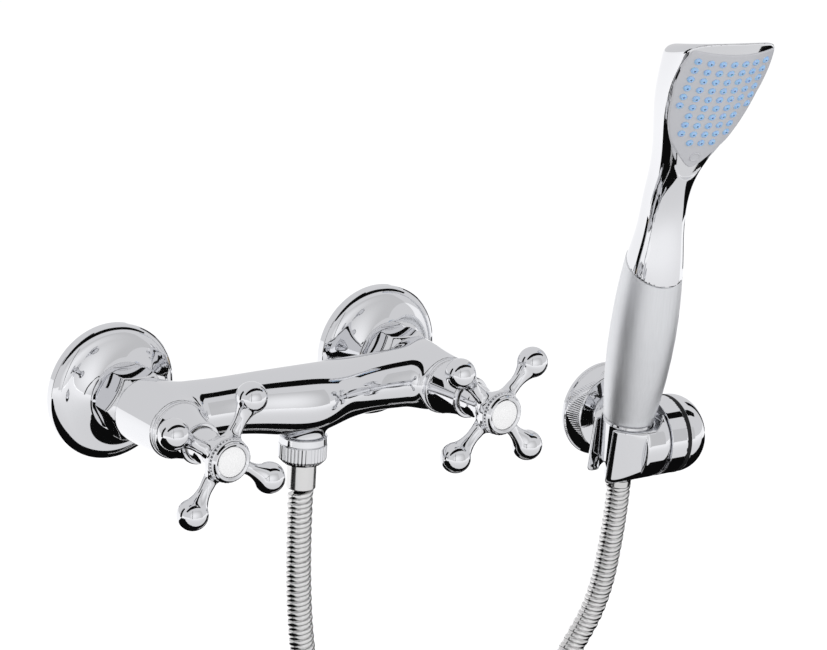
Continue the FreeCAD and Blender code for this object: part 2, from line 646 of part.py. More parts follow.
def cross_handle(side, sign, first_turn):
    """A bell hub and four teardrop arms that swell into balls, in the handle's own frame."""
    hub = turned("hub_" + side, [
        (0, 0), (K["hub_foot_radius"] - 0.7, 0), (K["hub_foot_radius"], 0.7),
        (K["hub_foot_radius"] - 0.2, 6.0),
        (K["hub_radius"], K["cross_plane"] + 2.6, 18.0, "right"),
        (K["hub_radius"], K["hub_length"]), (0, K["hub_length"])])
    join = K["ball_radius"] * trig("sin", Size(45.0))
    arms = []
    for quarter in range(4):
        turn = FreeCAD.Rotation(V(0, 0, 1), 90.0 * quarter).multiply(RIGHTWARD)
        arms.append(turned("arm_%s_%d" % (side, quarter + 1), [
            (0, 5.2), (K["handle_arm_neck"] + 1.6, 5.2),
            (K["handle_arm_neck"], K["hub_radius"] + 3.6, 26.0, "right"),
            (join, K["ball_reach"] - join, 15.0, "right"),
            (0, K["ball_reach"] + K["ball_radius"], K["ball_radius"], "left")],
            (0, 0, K["cross_plane"]), turn))
    casting = fuse("handle_casting_" + side, [hub] + arms)
    spindle_hole = cylinder("spindle_hole_" + side, K["spindle_radius"] + K["thread_clearance"],
                            K["spindle_front"] - K["handle_back"] + 0.3)
    screw_hole = cylinder("screw_hole_" + side, K["handle_screw_radius"] + 0.3, K["hub_length"])
    recess = cylinder("recess_" + side, K["button_radius"] - 0.9, 6.5,
                      (0, 0, K["hub_length"] - 5.7))
    piece = cut("handle_" + side, casting, [spindle_hole, screw_hole, recess])
    turn = OUTWARD.multiply(FreeCAD.Rotation(V(0, 0, 1), first_turn.number))
    at = (half_spacing * sign, -K["handle_back"], 0)
    node(place(piece, at, turn), "cross_handle_" + side)
    bezel_back = K["hub_length"] + 0.05
    inner = K["button_radius"] + 0.06
    bezel = turned("bezel_" + side, [
        (inner, bezel_back), (K["bezel_radius"] - 0.2, bezel_back),
        (K["bezel_radius"], bezel_back + 0.2), (K["bezel_radius"], bezel_back + 1.7),
        (K["bezel_radius"] - 1.3, bezel_back + K["bezel_height"] - 0.3),
        (K["bezel_radius"] - 1.9, bezel_back + K["bezel_height"]),
        (inner, bezel_back + K["bezel_height"] - 0.4)], at, turn)
    edge = K["bezel_radius"] + 0.3
    notched(bezel, "bezel_" + side, [(edge - 0.75, 0), (edge, -0.35), (edge, 0.35)],
            1.3, K["bezel_notches"], bezel_back + 0.2)
    node(bezel, "bezel_ring_" + side)
    top = bezel_back + K["bezel_height"] - 0.9
    crown = (K["button_radius"] * K["button_radius"] + K["button_dome"] * K["button_dome"]) \
        / (2.0 * K["button_dome"])
    node(turned("button_" + side, [
        (0, bezel_back), (K["button_radius"], bezel_back), (K["button_radius"], top),
        (0, top + K["button_dome"], crown, "left")], at, turn), "index_button_" + side)
    head_back = K["hub_length"] - 5.6
    screw_end = K["spindle_front"] - K["handle_back"] - 11.5
    node(turned("screw_" + side, [
        (0, screw_end), (K["handle_screw_radius"], screw_end),
        (K["handle_screw_radius"], head_back), (K["handle_screw_radius"] + 2.2, head_back),
        (K["handle_screw_radius"] + 2.2, head_back + 2.4), (0, head_back + 2.9)], at, turn),
        "handle_screw_" + side)


# Hose outlet below the bar
outlet_at = (0, -K["belly_depth"], -K["boss_bottom"])
nipple_bottom = K["nipple_thread_length"]
washer_bottom = nipple_bottom + K["washer_thickness"]
collar_bottom = washer_bottom + 1.7
hose_nut_top = Size(0.25)


def outlet_pieces():
    plug_top = K["boss_bottom"] - 4.4
    nipple = [
        (K["outlet_bore"], 0), (K["outlet_thread_radius"], 0),
        (K["outlet_thread_radius"], nipple_bottom - 0.15),
        (K["nipple_plug_radius"], nipple_bottom - 0.15),
        (K["nipple_plug_radius"], nipple_bottom + plug_top - 2.0),
        (K["outlet_bore"], nipple_bottom + plug_top - 2.0),
    ]
    nipple_at = (0, -K["belly_depth"], -K["boss_bottom"] - nipple_bottom)
    node(turned("nipple", nipple, nipple_at), "outlet_nipple")
    valve_radius = K["outlet_bore"] - 0.04
    node(turned("valve_cartridge", [
        (1.6, 0), (valve_radius - 1.0, 0), (valve_radius, 1.0), (valve_radius, 9.0),
        (2.2, 9.0), (2.2, 5.0), (1.6, 4.0)],
        (0, -K["belly_depth"], -K["boss_bottom"] - 5.0)), "check_valve")
    node(turned("outlet_washer", tube(K["outlet_thread_radius"] - 0.4, K["hose_bore"] + 0.6, 0,
                                      K["washer_thickness"] - 0.1),
                (0, -K["belly_depth"], -K["boss_bottom"] - washer_bottom + 0.05)), "hose_washer")
    inner = K["outlet_thread_radius"] + K["thread_clearance"]
    hole = K["ferrule_radius"] + K["running_clearance"]
    bottom = hose_nut_top + K["hose_nut_length"]
    radius = K["hose_nut_radius"]
    nut = turned("hose_nut_body", [
        (inner, hose_nut_top), (radius - 0.5, hose_nut_top), (radius, hose_nut_top + 0.5),
        (radius, hose_nut_top + K["hose_nut_band"]),
        (radius - 0.35, hose_nut_top + K["hose_nut_band"] + 0.3),
        (radius - 0.1, hose_nut_top + K["hose_nut_band"] + 0.6), (radius - 0.1, bottom - 2.6),
        (radius - 2.0, bottom), (hole, bottom), (hole, collar_bottom + 0.05),
        (inner, collar_bottom + 0.05)], outlet_at, DOWNWARD)
    flute = K["hose_nut_radius"] + 0.2
    notched(nut, "hose_nut", [(flute - 0.95, 0), (flute, -0.6), (flute, 0.6)],
            K["hose_nut_length"] - K["hose_nut_band"], K["hose_nut_flutes"],
            hose_nut_top + K["hose_nut_band"] + 0.5)
    node(nut, "hose_nut")
    end = K["ferrule_bottom"] - K["boss_bottom"]
    node(turned("mixer_ferrule", [
        (K["hose_bore"], washer_bottom + 0.05), (K["outlet_thread_radius"] - 0.4, washer_bottom + 0.05),
        (K["outlet_thread_radius"] - 0.4, collar_bottom), (K["ferrule_radius"], collar_bottom),
        (K["ferrule_radius"], end - 0.6), (K["ferrule_radius"] - 0.6, end),
        (K["hose_bore"], end)], outlet_at, DOWNWARD), "hose_ferrule")


# The hose: its route, its ribbed stretches and the put-away coil
def arc_between(start, corner, end):
    """The tangent arc at a corner, from the point before it to the point after it."""
    before, after = corner.sub(start), end.sub(corner)
    length = min(before.Length, after.Length)
    turn = before.getAngle(after)
    radius = 0.45 * length / math.tan(turn / 2.0)
    reach = 0.45 * length
    first = corner.sub(V(before).normalize().multiply(reach))
    last = corner.add(V(after).normalize().multiply(reach))
    inward = V(after).normalize().sub(V(before).normalize()).normalize()
    middle = corner.add(inward.multiply(radius * (1.0 / math.cos(turn / 2.0) - 1.0)))
    return first, middle, last, radius


def rounded_route(points, name):
    """Straight runs joined by tangent arcs."""
    edges, at, radii = [], points[0], []
    for start, corner, end in zip(points, points[1:], points[2:]):
        first, middle, last, radius = arc_between(start, corner, end)
        if at.distanceToPoint(first) > 1e-6:
            edges.append(Part.LineSegment(at, first).toShape())
        edges.append(Part.Arc(first, middle, last).toShape())
        at = last
        radii.append(radius)
    edges.append(Part.LineSegment(at, points[-1]).toShape())
    print("%s: arc radii %s mm" % (name, ", ".join("%.0f" % r for r in radii)))
    return Part.Wire(edges)


def frame_along(wire, distance):
    """The point and the direction at a distance along a wire."""
    for edge in wire.Edges:
        if distance <= edge.Length + 1e-9:
            parameter = edge.getParameterByLength(min(max(distance, 0.0), edge.Length))
            return edge.valueAt(parameter), edge.tangentAt(parameter)
        distance -= edge.Length
    last = wire.Edges[-1]
    return last.valueAt(last.LastParameter), last.tangentAt(last.LastParameter)


def ring_at(point, direction, radius):
    """A circle square to the route, with a steady X axis."""
    circle = Part.Circle()
    turn = FreeCAD.Rotation(V(0, 0, 1), direction)
    across = V(1, 0, 0).sub(V(direction).multiply(V(1, 0, 0).dot(direction))).normalize()
    turn = FreeCAD.Rotation(across, direction.cross(across), direction, "ZXY")
    shape = Part.Wire([Part.makeCircle(radius)])
    shape.Placement = FreeCAD.Placement(point, turn)
    return shape


def plain_tube(wire, radius):
    start, direction = frame_along(wire, 0.0)
    section = ring_at(start, direction, radius)
    return wire.makePipeShell([section], True, False)


def ribbed_stretch(name, points, rib_count):
    """Ribs by a ruled loft over the first part of the route, a plain tube over the rest."""
    wire = rounded_route(points, name)
    outer = K["hose_radius"].number
    groove = outer - K["hose_groove"].number
    pitch, land = K["rib_pitch"].number, K["rib_land"].number
    slope = (pitch - land) / 2.0
    rings = []
    start = 0.0
    for rib in range(int(rib_count.number)):
        for step, radius in ((0.0, groove), (slope * 0.6, outer), (slope * 0.6 + land, outer),
                             (2.0 * slope * 0.6 + land, groove)):
            point, direction = frame_along(wire, start + step)
            rings.append(ring_at(point, direction, radius))
        start += pitch
    ribs = Part.makeLoft(rings, True, True)
    last = start - pitch + 2.0 * slope * 0.6 + land
    rest = tail_of(wire, last)
    tail = plain_tube(rest, groove)
    solid = ribs.fuse(tail)
    bore = plain_tube(wire, K["hose_bore"].number)
    solid = solid.cut(bore)
    if solid.ShapeType == "Compound" and len(solid.Solids) == 1:
        solid = solid.Solids[0]
    piece = doc.addObject("Part::Feature", name + "_tube")
    piece.Shape = solid
    node(piece, name)
    return wire


def tail_of(wire, distance):
    """The part of a wire after a distance."""
    edges = []
    for edge in wire.Edges:
        if distance >= edge.Length - 1e-6:
            distance -= edge.Length
            continue
        first = edge.getParameterByLength(max(distance, 0.0))
        edges.append(edge.Curve.toShape(first, edge.LastParameter))
        distance = 0.0
    return Part.Wire(edges)


coil_centre = V(K["coil_across"].number, 0, -K["coil_drop"].number)


def coil_point(turns):
    """A point of the coil: round the ring from its left side downwards, towards the wall."""
    angle = math.pi + 2.0 * math.pi * turns
    radius = K["coil_radius"].number
    depth = K["coil_near"].number - K["coil_pitch"].number * turns
    return coil_centre.add(V(radius * math.cos(angle), -depth, radius * math.sin(angle)))


def coil_direction(turns):
    angle = math.pi + 2.0 * math.pi * turns
    radius = K["coil_radius"].number * 2.0 * math.pi
    return V(-radius * math.sin(angle), K["coil_pitch"].number, radius * math.cos(angle)).normalize()


def biarc(start, start_direction, end, end_direction):
    """Two arcs that leave one point and reach the other along the given directions."""
    span = end.sub(start)
    total = start_direction.add(end_direction)
    along = span.dot(total)
    bend = 2.0 * (1.0 - start_direction.dot(end_direction))
    leg = (-along + math.sqrt(along ** 2 + bend * span.dot(span))) / bend
    corner_1 = start.add(V(start_direction).multiply(leg))
    corner_2 = end.sub(V(end_direction).multiply(leg))
    joint = corner_1.add(corner_2).multiply(0.5)
    edges = []
    for first, corner, last in ((start, corner_1, joint), (joint, corner_2, end)):
        half = (corner.sub(first)).getAngle(last.sub(corner)) / 2.0
        weight = math.cos(half)
        middle = first.add(V(corner).multiply(2.0 * weight)).add(last).multiply(0.5 / (1.0 + weight))
        edges.append(Part.Arc(first, middle, last).toShape())
    return edges


def hose_coil():
    """Two and a half turns of one unbroken tube, with straight ends."""
    turns = K["coil_turns"].number
    straight = 2.0 * K["hose_radius"].number
    steps = int(round(turns * 4))
    lead = V(0, 0, -1)
    begin = coil_point(0.0)
    edges = [Part.LineSegment(begin.sub(V(lead).multiply(straight)), begin).toShape()]
    marks = [0.25 * step for step in range(steps + 1)]
    for first, last in zip(marks, marks[1:]):
        d_1 = lead if first == 0.0 else coil_direction(first)
        d_2 = V(0, 0, 1) if last == marks[-1] else coil_direction(last)
        edges += biarc(coil_point(first), d_1, coil_point(last), d_2)
    finish = coil_point(marks[-1])
    edges.append(Part.LineSegment(finish, finish.add(V(0, 0, straight))).toShape())
    wire = Part.Wire(edges)
    solid = plain_tube(wire, K["hose_radius"].number)
    piece = doc.addObject("Part::Feature", "coil_tube")
    piece.Shape = solid
    node(piece, "hose_coil")
    samples = []
    for step in range(400):
        samples.append((step * wire.Length / 399.0,
                        frame_along(wire, step * wire.Length / 399.0)[0]))
    least = min(p.distanceToPoint(q) for s, p in samples for t, q in samples
                if t - s > math.pi * K["coil_radius"].number)
    print("hose_coil: %.0f mm long, least gap to itself %.2f mm"
          % (wire.Length, least - 2.0 * K["hose_radius"].number))
    return wire


def hose():
    radius = K["hose_radius"].number
    straight = 2.0 * radius
    top = V(0, -K["belly_depth"].number, -K["ferrule_bottom"].number)
    entry = coil_point(0.0).add(V(0, 0, straight))
    mixer_points = [top, V(0, top.y, -134), V(entry.x, entry.y, -175), entry]
    wire_1 = ribbed_stretch("hose_mixer_side", mixer_points, K["mixer_ribs"])
    wire_2 = hose_coil()
    leave = coil_point(K["coil_turns"].number).add(V(0, 0, straight))
    foot = handset_point(-foot_depth().number)
    down = handset_point(-foot_depth().number - 60.0)
    handset_points = [foot, down, V(leave.x, leave.y, -179), leave]
    wire_3 = ribbed_stretch("hose_handset_side", handset_points, K["handset_ribs"])
    print("hose: %.0f mm long in all" % (wire_1.Length + wire_2.Length + wire_3.Length))
    tie_at = coil_point(1.25)
    depth = K["coil_pitch"].number * (K["coil_turns"].number - 0.5) + 2.0 * radius
    return tie_at, depth


def hose_tie():
    """A strap round the three turns at the foot of the coil."""
    radius = K["hose_radius"]
    gap = K["face_gap"]
    height = 2.0 * (radius + gap)
    front = K["coil_near"] - 0.25 * K["coil_pitch"] + radius + gap
    depth = 2.0 * K["coil_pitch"] + height
    bottom = -K["coil_drop"] - K["coil_radius"] - radius - gap
    left = K["coil_across"] - K["tie_width"] / 2.0
    wall = K["tie_thickness"]
    outer = box("tie_outer", K["tie_width"], depth + 2.0 * wall, height + 2.0 * wall,
                (left, -front - wall, bottom - wall))
    inner = box("tie_inner", K["tie_width"] + 2.0, depth, height, (left - 1.0, -front, bottom))
    node(cut("tie_loop", outer, inner), "hose_tie")


# Bracket: back plate, ribbed cover, arm with its ring, swivelling cup and end cap
plate_across = K["holder_right"] + K["face_gap"] + K["arm_ring_width"] / 2.0
ring_left = K["holder_right"] + K["face_gap"]
ring_right = ring_left + K["arm_ring_width"]
cap_left = ring_right + 2.0 * K["ring_section"] + 0.1


def handset_point(height, across=0.0, back=0.0):
    """A point of the hand shower's own frame, as a world point."""
    base = V(K["cup_across"].number, -K["barrel_depth"].number, -K["barrel_drop"].number)
    return base.add(SPUN.multVec(V(across, back, height)))


def bracket_plate():
    thickness = K["backplate_thickness"]
    at = (plate_across, 0, -K["barrel_drop"])
    plate = turned("backplate", [
        (0, 0), (K["backplate_radius"], 0), (K["backplate_radius"], thickness),
        (K["neck_socket"], thickness), (K["neck_socket"], K["plate_front"] + 4.0),
        (0, K["plate_front"] + 4.0)], at, OUTWARD)
    holes = []
    for side, sign in (("left", -1), ("right", 1)):
        x = plate_across + K["screw_spacing"] / 2.0 * sign
        holes.append(cylinder("plate_hole_" + side, K["screw_hole_radius"], thickness + 2.0,
                              (x, 1.0, -K["barrel_drop"]), OUTWARD))
    node(cut("wall_plate_blank", plate, holes), "wall_plate")
    wall = 1.3
    lip = K["plate_lip"]
    hole = K["neck_foot_radius"] - 1.0
    cover = turned("cover", [
        (K["backplate_radius"] + 0.3, 0), (K["plate_radius"] - 0.3, 0), (K["plate_radius"], 0.3),
        (K["plate_radius"], lip - 0.5), (K["plate_radius"] - 0.5, lip), (K["plate_band_foot"], lip),
        (K["plate_face_radius"], K["plate_front"] - 0.5),
        (K["plate_face_radius"] - 0.6, K["plate_front"]), (hole, K["plate_front"]),
        (hole, K["plate_front"] - wall), (K["plate_face_radius"] - 1.2, K["plate_front"] - wall),
        (K["backplate_radius"] + 0.3, thickness + 0.2)], at, OUTWARD)
    rib_grooves(cover)
    node(cover, "plate_cover")


def rib_grooves(body):
    """Shallow notches round the cover's sloping band."""
    foot = K["plate_band_foot"]
    face = K["plate_face_radius"]
    notched(body, "cover", [(face + 0.2, 0), (foot + 0.4, -0.65), (foot + 0.4, 0.65)],
            K["plate_front"], K["plate_ribs"], K["plate_lip"] + 0.1)


def bracket_arm():
    """A trumpet neck that narrows to the barrel's ring."""
    front = K["barrel_depth"]
    ring_back = front - K["barrel_radius"]
    bore = K["neck_socket"] + K["thread_clearance"]
    at = (plate_across, 0, -K["barrel_drop"])
    neck = turned("arm_neck", [
        (bore, K["plate_front"] - 4.2), (K["neck_foot_radius"] + 1.0, K["plate_front"] - 4.2),
        (K["neck_foot_radius"] + 1.0, K["plate_front"] - 1.6),
        (K["neck_foot_radius"] - 1.1, K["plate_front"] - 1.6),
        (K["neck_foot_radius"] - 1.1, K["plate_front"] + 0.4),
        (K["neck_radius"], ring_back - 2.0,
         K["neck_flare"] + (ring_back - K["plate_front"]) / 2.0, "right"),
        (K["neck_radius"], ring_back + 6.0),
        (0, ring_back + 6.0), (0, K["plate_front"] + 4.3), (bore, K["plate_front"] + 4.3)],
        at, OUTWARD)
    ring_at_left = (ring_left, -K["barrel_depth"], -K["barrel_drop"])
    ring = cylinder("arm_ring", K["barrel_radius"], K["arm_ring_width"], ring_at_left, RIGHTWARD)
    hole = cylinder("arm_pivot_hole", K["pivot_radius"] + K["thread_clearance"],
                    K["arm_ring_width"] + 2.0,
                    (ring_left - 1.0, -K["barrel_depth"], -K["barrel_drop"]), RIGHTWARD)
    recess = cylinder("washer_recess", 11.2, 0.9,
                      (ring_left - 0.1, -K["barrel_depth"], -K["barrel_drop"]), RIGHTWARD)
    grub = cylinder("grub_hole", 2.5 + K["thread_clearance"], K["barrel_radius"],
                    (plate_across, -K["barrel_depth"], -K["barrel_drop"] - K["barrel_radius"] - 1.0))
    solid = fuse("arm_casting", [neck, ring])
    node(cut("arm_bored", solid, [hole, recess, grub]), "bracket_arm")
    node(turned("grub", [
        (0, 0), (1.4, 0.5), (2.5, 0.5), (2.5, 8.5), (1.6, 10.0), (0, 10.0)],
        (plate_across, -K["barrel_depth"], -K["barrel_drop"] - K["pivot_radius"] - 10.2)),
        "grub_screw")


def holder_cup():
    """The barrel's left end: a cone socket for the hand shower, open at its end for the hose."""
    left = K["cup_across"] - K["cup_end_radius"]
    barrel = cylinder("cup_barrel", K["barrel_radius"], K["holder_right"] - left,
                      (left, -K["barrel_depth"], -K["barrel_drop"]), RIGHTWARD)
    reach = 2.0 * K["barrel_radius"]
    tilt_y = trig("sin", K["cup_tilt"])
    tilt_z = trig("cos", K["cup_tilt"])

    def on_axis(height):
        return (K["cup_across"], -K["barrel_depth"] - height * tilt_y,
                -K["barrel_drop"] + height * tilt_z)

    end_round = cylinder("cup_end", K["cup_end_radius"], 2.0 * reach, on_axis(-reach), TILTED)
    end_box = box("cup_box", reach, 2.0 * reach, 2.0 * reach,
                  (K["cup_across"], -K["barrel_depth"] - reach, -K["barrel_drop"] - reach))
    ball = doc.addObject("Part::Sphere", "cup_ball")
    bind(ball, Radius=K["barrel_radius"] + K["cup_ball_extra"])
    place(ball, on_axis(Size(0.0)))
    blank = common("cup_blank", [barrel, fuse("cup_plan", [end_round, end_box]), ball])
    above_rim = cylinder("cup_rim_cut", K["cup_rim_radius"], reach, on_axis(K["cup_rim_height"]),
                         TILTED)
    foot = K["barrel_radius"] + 2.0
    slope = (K["cup_mouth_radius"] - K["cup_foot_radius"]) / (K["cup_rim_height"] + foot)
    socket = cone("cup_socket", K["cup_foot_radius"], K["cup_mouth_radius"] + slope * 1.0,
                  K["cup_rim_height"] + foot + 1.0, on_axis(-foot), TILTED)
    slot = box("cup_slot_cut", K["cup_end_radius"] + 4.0, K["cup_slot"], 2.0 * reach,
               (0, 0, 0), TILTED)
    half = K["cup_slot"] / 2.0
    place(slot, (K["cup_across"] - K["cup_end_radius"] - 4.0,
                 -K["barrel_depth"] - half * tilt_z + reach * tilt_y,
                 -K["barrel_drop"] - half * tilt_y - reach * tilt_z), TILTED)
    pivot_hole = cylinder("cup_pivot_hole", K["pivot_radius"] + K["running_clearance"], 12.0,
                          (K["holder_right"] - 11.0, -K["barrel_depth"], -K["barrel_drop"]),
                          RIGHTWARD)
    head_room = cone("cup_head_room", K["pivot_head_radius"] + 0.3,
                     K["pivot_radius"] + 0.1, 2.4,
                     (K["holder_right"] - 3.4, -K["barrel_depth"], -K["barrel_drop"]), RIGHTWARD)
    node(cut("cup_bored", blank, [above_rim, socket, slot, pivot_hole, head_room]), "holder_cup")


def bracket_small_pieces():
    axis = (-K["barrel_depth"], -K["barrel_drop"])
    node(turned("friction_disc", tube(10.8, K["pivot_radius"] + 0.1, 0, 0.9),
                (ring_left - 0.2, axis[0], axis[1]), RIGHTWARD), "friction_washer")
    length = cap_left + 9.0 - (K["holder_right"] - 3.1)
    node(turned("pivot", [
        (0, 0), (K["pivot_head_radius"], 0), (K["pivot_radius"], 2.0), (K["pivot_radius"], length),
        (0, length)], (K["holder_right"] - 3.1, axis[0], axis[1]), RIGHTWARD), "pivot_screw")
    ring = doc.addObject("Part::Torus", "black_ring")
    bind(ring, Radius1=K["barrel_radius"] - K["ring_section"] + 0.1, Radius2=K["ring_section"])
    node(place(ring, (ring_right + K["ring_section"] + 0.05, axis[0], axis[1]), RIGHTWARD),
         "seal_ring")
    bore = K["pivot_radius"] + K["thread_clearance"]
    shoulder, corner = K["dome_shoulder"], K["dome_corner"]
    inset = K["barrel_radius"] - corner
    across, along = trig("cos", K["dome_turn"]), trig("sin", K["dome_turn"])
    crown = corner + inset / across
    tip = shoulder - inset * along / across + crown
    node(turned("cap", [
        (9.4, 0), (K["barrel_radius"], 0), (K["barrel_radius"], shoulder),
        (inset + corner * across, shoulder + corner * along, corner, "left"),
        (0, tip, crown, "left"), (0, 9.6), (bore, 9.6), (bore, 3.0), (9.4, 3.0)],
        (cap_left, axis[0], axis[1]), RIGHTWARD), "dome_cap")
    node(turned("spring", [
        (K["pivot_radius"] + 0.15, 0), (8.8, 1.1), (8.8, 1.9), (K["pivot_radius"] + 0.15, 0.9)],
        (cap_left + 0.6, axis[0], axis[1]), RIGHTWARD), "spring_washer")


# Hand shower in its own frame: Z along its axis from the pivot, +Y towards the wall
grip_foot = K["cup_rim_height"] + 0.9


def foot_depth():
    """How far the hose's upper end lies below the pivot, along the axis."""
    return K["cone_length"] + K["cone_tail_length"] + K["sleeve_length"] - grip_foot + 0.15


def on_handset(height):
    height = as_size(height)
    return (K["cup_across"], -K["barrel_depth"] - height * trig("sin", K["cup_tilt"]),
            -K["barrel_drop"] + height * trig("cos", K["cup_tilt"]))


def cone_nut_pieces():
    total = K["cone_length"] + K["cone_tail_length"]
    at = on_handset(grip_foot - 0.15 - total)
    thread = K["outlet_thread_radius"] + K["thread_clearance"] - 2.6
    hole = K["sleeve_radius"] + K["running_clearance"]
    tail = K["cone_tail_length"]
    node(turned("cone", [
        (hole, 0), (K["cone_tail_radius"] - 0.5, 0), (K["cone_tail_radius"], 0.5),
        (K["cone_tail_radius"] + 0.2, 2.0), (K["cone_foot_radius"], tail, 9.0, "right"),
        (K["cone_top_radius"], total - 1.2),
        (K["cone_top_radius"] - 0.8, total), (K["outlet_thread_radius"] + K["thread_clearance"], total),
        (K["outlet_thread_radius"] + K["thread_clearance"], total - 10.0), (thread, total - 10.5),
        (thread, tail), (hole, tail - 1.5)], at, TILTED), "cone_nut")
    ferrule_top = tail + 2.6 + K["sleeve_length"]
    sleeve = K["sleeve_radius"]
    node(turned("handset_ferrule_body", [
        (K["hose_bore"], 0), (sleeve - 0.4, 0), (sleeve, 0.4), (sleeve, tail + K["sleeve_length"] - 1.2),
        (thread - 0.1, tail + K["sleeve_length"] + 0.3), (thread - 0.1, ferrule_top),
        (K["hose_bore"], ferrule_top)], on_handset(-foot_depth()), TILTED), "handset_ferrule")
    node(turned("cone_washer_body", tube(thread - 0.1, K["hose_bore"] + 0.4, 0,
                                         K["washer_thickness"]),
                on_handset(-foot_depth() + ferrule_top + 0.1), TILTED), "cone_washer")


def handset_tube():
    bottom = -foot_depth() + K["cone_tail_length"] + 2.6 + K["sleeve_length"] \
        + K["washer_thickness"] + 0.2
    thread_low = K["outlet_thread_radius"] - 2.6
    low = Size(0.0)
    step = grip_foot - 0.15 - 10.0 - bottom + 0.3
    shoulder = grip_foot - bottom
    top = grip_foot + K["seam_height"] + K["tube_reach"] - bottom
    node(turned("inner_tube", [
        (K["tube_bore"], low), (thread_low, low), (thread_low, step),
        (K["outlet_thread_radius"], step), (K["outlet_thread_radius"], shoulder),
        (K["tube_radius"], shoulder), (K["tube_radius"], top), (K["tube_bore"], top)],
        on_handset(bottom), TILTED), "water_tube")


def grip_arc_radius():
    half = K["grip_length"] / 2.0
    return (half * half + K["grip_belly"] * K["grip_belly"]) / (2.0 * K["grip_belly"])


def seam_box(name, above):
    """A large block on one side of the slanted seam."""
    size = 160.0
    slant = FreeCAD.Rotation(V(1, 0, 0), K["seam_slant"].number)
    turn = SPUN.multiply(slant)
    height = grip_foot + K["seam_height"] + (-0.1 if above else 0.1)
    corner = turn.multVec(V(-size / 2, -size / 2, 0 if above else -size))
    centre = on_handset(height)
    return box(name, size, size, size,
               (centre[0] + corner.x, centre[1] + corner.y, centre[2] + corner.z), turn)


def grip_sleeve():
    bore = K["tube_radius"] + K["thread_clearance"]
    arc = grip_arc_radius()
    wall = 2.2
    sleeve = turned("grip_blank", [
        (bore, 0), (K["grip_end_radius"] - 0.8, 0), (K["grip_end_radius"], 0.8, 0.9, "left"),
        (K["grip_top_radius"], K["grip_length"], arc, "left"),
        (bore, K["grip_length"])], on_handset(grip_foot), TILTED)
    hollow = turned("grip_hollow", [
        (bore - 0.1, 6.0), (K["grip_end_radius"] - wall + 0.4, 6.0),
        (K["grip_top_radius"] - wall, K["seam_height"] - 12.0, arc, "left"),
        (bore - 0.1, K["seam_height"] - 12.0)], on_handset(grip_foot), TILTED)
    node(cut("grip_trimmed", sleeve, [hollow, seam_box("grip_top_block", True)]), "grip_sleeve")


def head_ring(height, front, back, half_width, corner_x=0.7071, corner_y=0.7071):
    """A closed ring of four arcs through corners at the given shares of its half sizes."""
    middle = (front + back) / 2.0
    side = half_width * corner_x
    lift = (back - front) / 2.0 * corner_y
    arcs = [
        Part.Arc(V(-side, middle - lift, 0), V(0, front, 0), V(side, middle - lift, 0)),
        Part.Arc(V(side, middle - lift, 0), V(half_width, middle, 0), V(side, middle + lift, 0)),
        Part.Arc(V(side, middle + lift, 0), V(0, back, 0), V(-side, middle + lift, 0)),
        Part.Arc(V(-side, middle + lift, 0), V(-half_width, middle, 0), V(-side, middle - lift, 0)),
    ]
    wire = Part.Wire([arc.toShape() for arc in arcs])
    wire.Placement = FreeCAD.Placement(handset_point(height), SPUN)
    return wire


def smooth(share):
    share = min(max(share, 0.0), 1.0)
    return share * share * (3.0 - 2.0 * share)


def face_reach(height):
    """How far the spray face stands off the axis at a height over the grip's foot."""
    return K["face_row_reach"].number + (height - K["face_row_height"].number) \
        * math.tan(math.radians(K["face_pitch"].number))


def grip_radius(height):
    """The grip's outer radius at a height over its foot."""
    arc, half = grip_arc_radius().number, K["grip_length"].number / 2.0
    swell = math.sqrt(arc ** 2 - (height - half) ** 2) - arc + K["grip_belly"].number
    low, high = K["grip_end_radius"].number, K["grip_top_radius"].number
    return low + (high - low) * height / (2.0 * half) + swell


def head_loft():
    """Round rings over the seam, then flat wide ones whose front the face cuts off."""
    foot = grip_foot.number
    neck, slim = K["neck_height"].number, K["head_neck_radius"].number
    seam, top = K["seam_height"].number, K["head_top"].number
    wires = []
    for height in (seam - 11.0, seam - 3.0, seam + 5.0):
        radius = grip_radius(height)
        wires.append(head_ring(foot + height, -radius, radius, radius))
    start = grip_radius(seam + 5.0)
    for share in (0.45, 1.0):
        height = seam + 5.0 + share * (neck - seam - 5.0)
        radius = slim + (start - slim) * (1.0 - share) ** 2.2
        wires.append(head_ring(foot + height, -radius, radius, radius))
    flare, shoulder = K["head_flare"].number, K["head_shoulder"].number
    full, back_drop = K["head_half_width"].number, slim + K["head_back"].number
    for height in (135.0, 150.0, 165.0, 180.0, 195.0, 208.0, top + 8.0):
        blend = smooth((height - flare) / (shoulder - flare))
        half_width = slim + (full - slim) * blend
        back = slim - back_drop * smooth((height - neck) / (top - 17.0 - neck))
        front = -face_reach(height) - 1.5 - 1.5 * blend
        wires.append(head_ring(foot + height, front, back, half_width,
                               0.7071 + 0.22 * blend, 0.7071 - 0.20 * blend))
    piece = doc.addObject("Part::Feature", "head_loft")
    piece.Shape = Part.makeLoft(wires, True, False)
    return piece


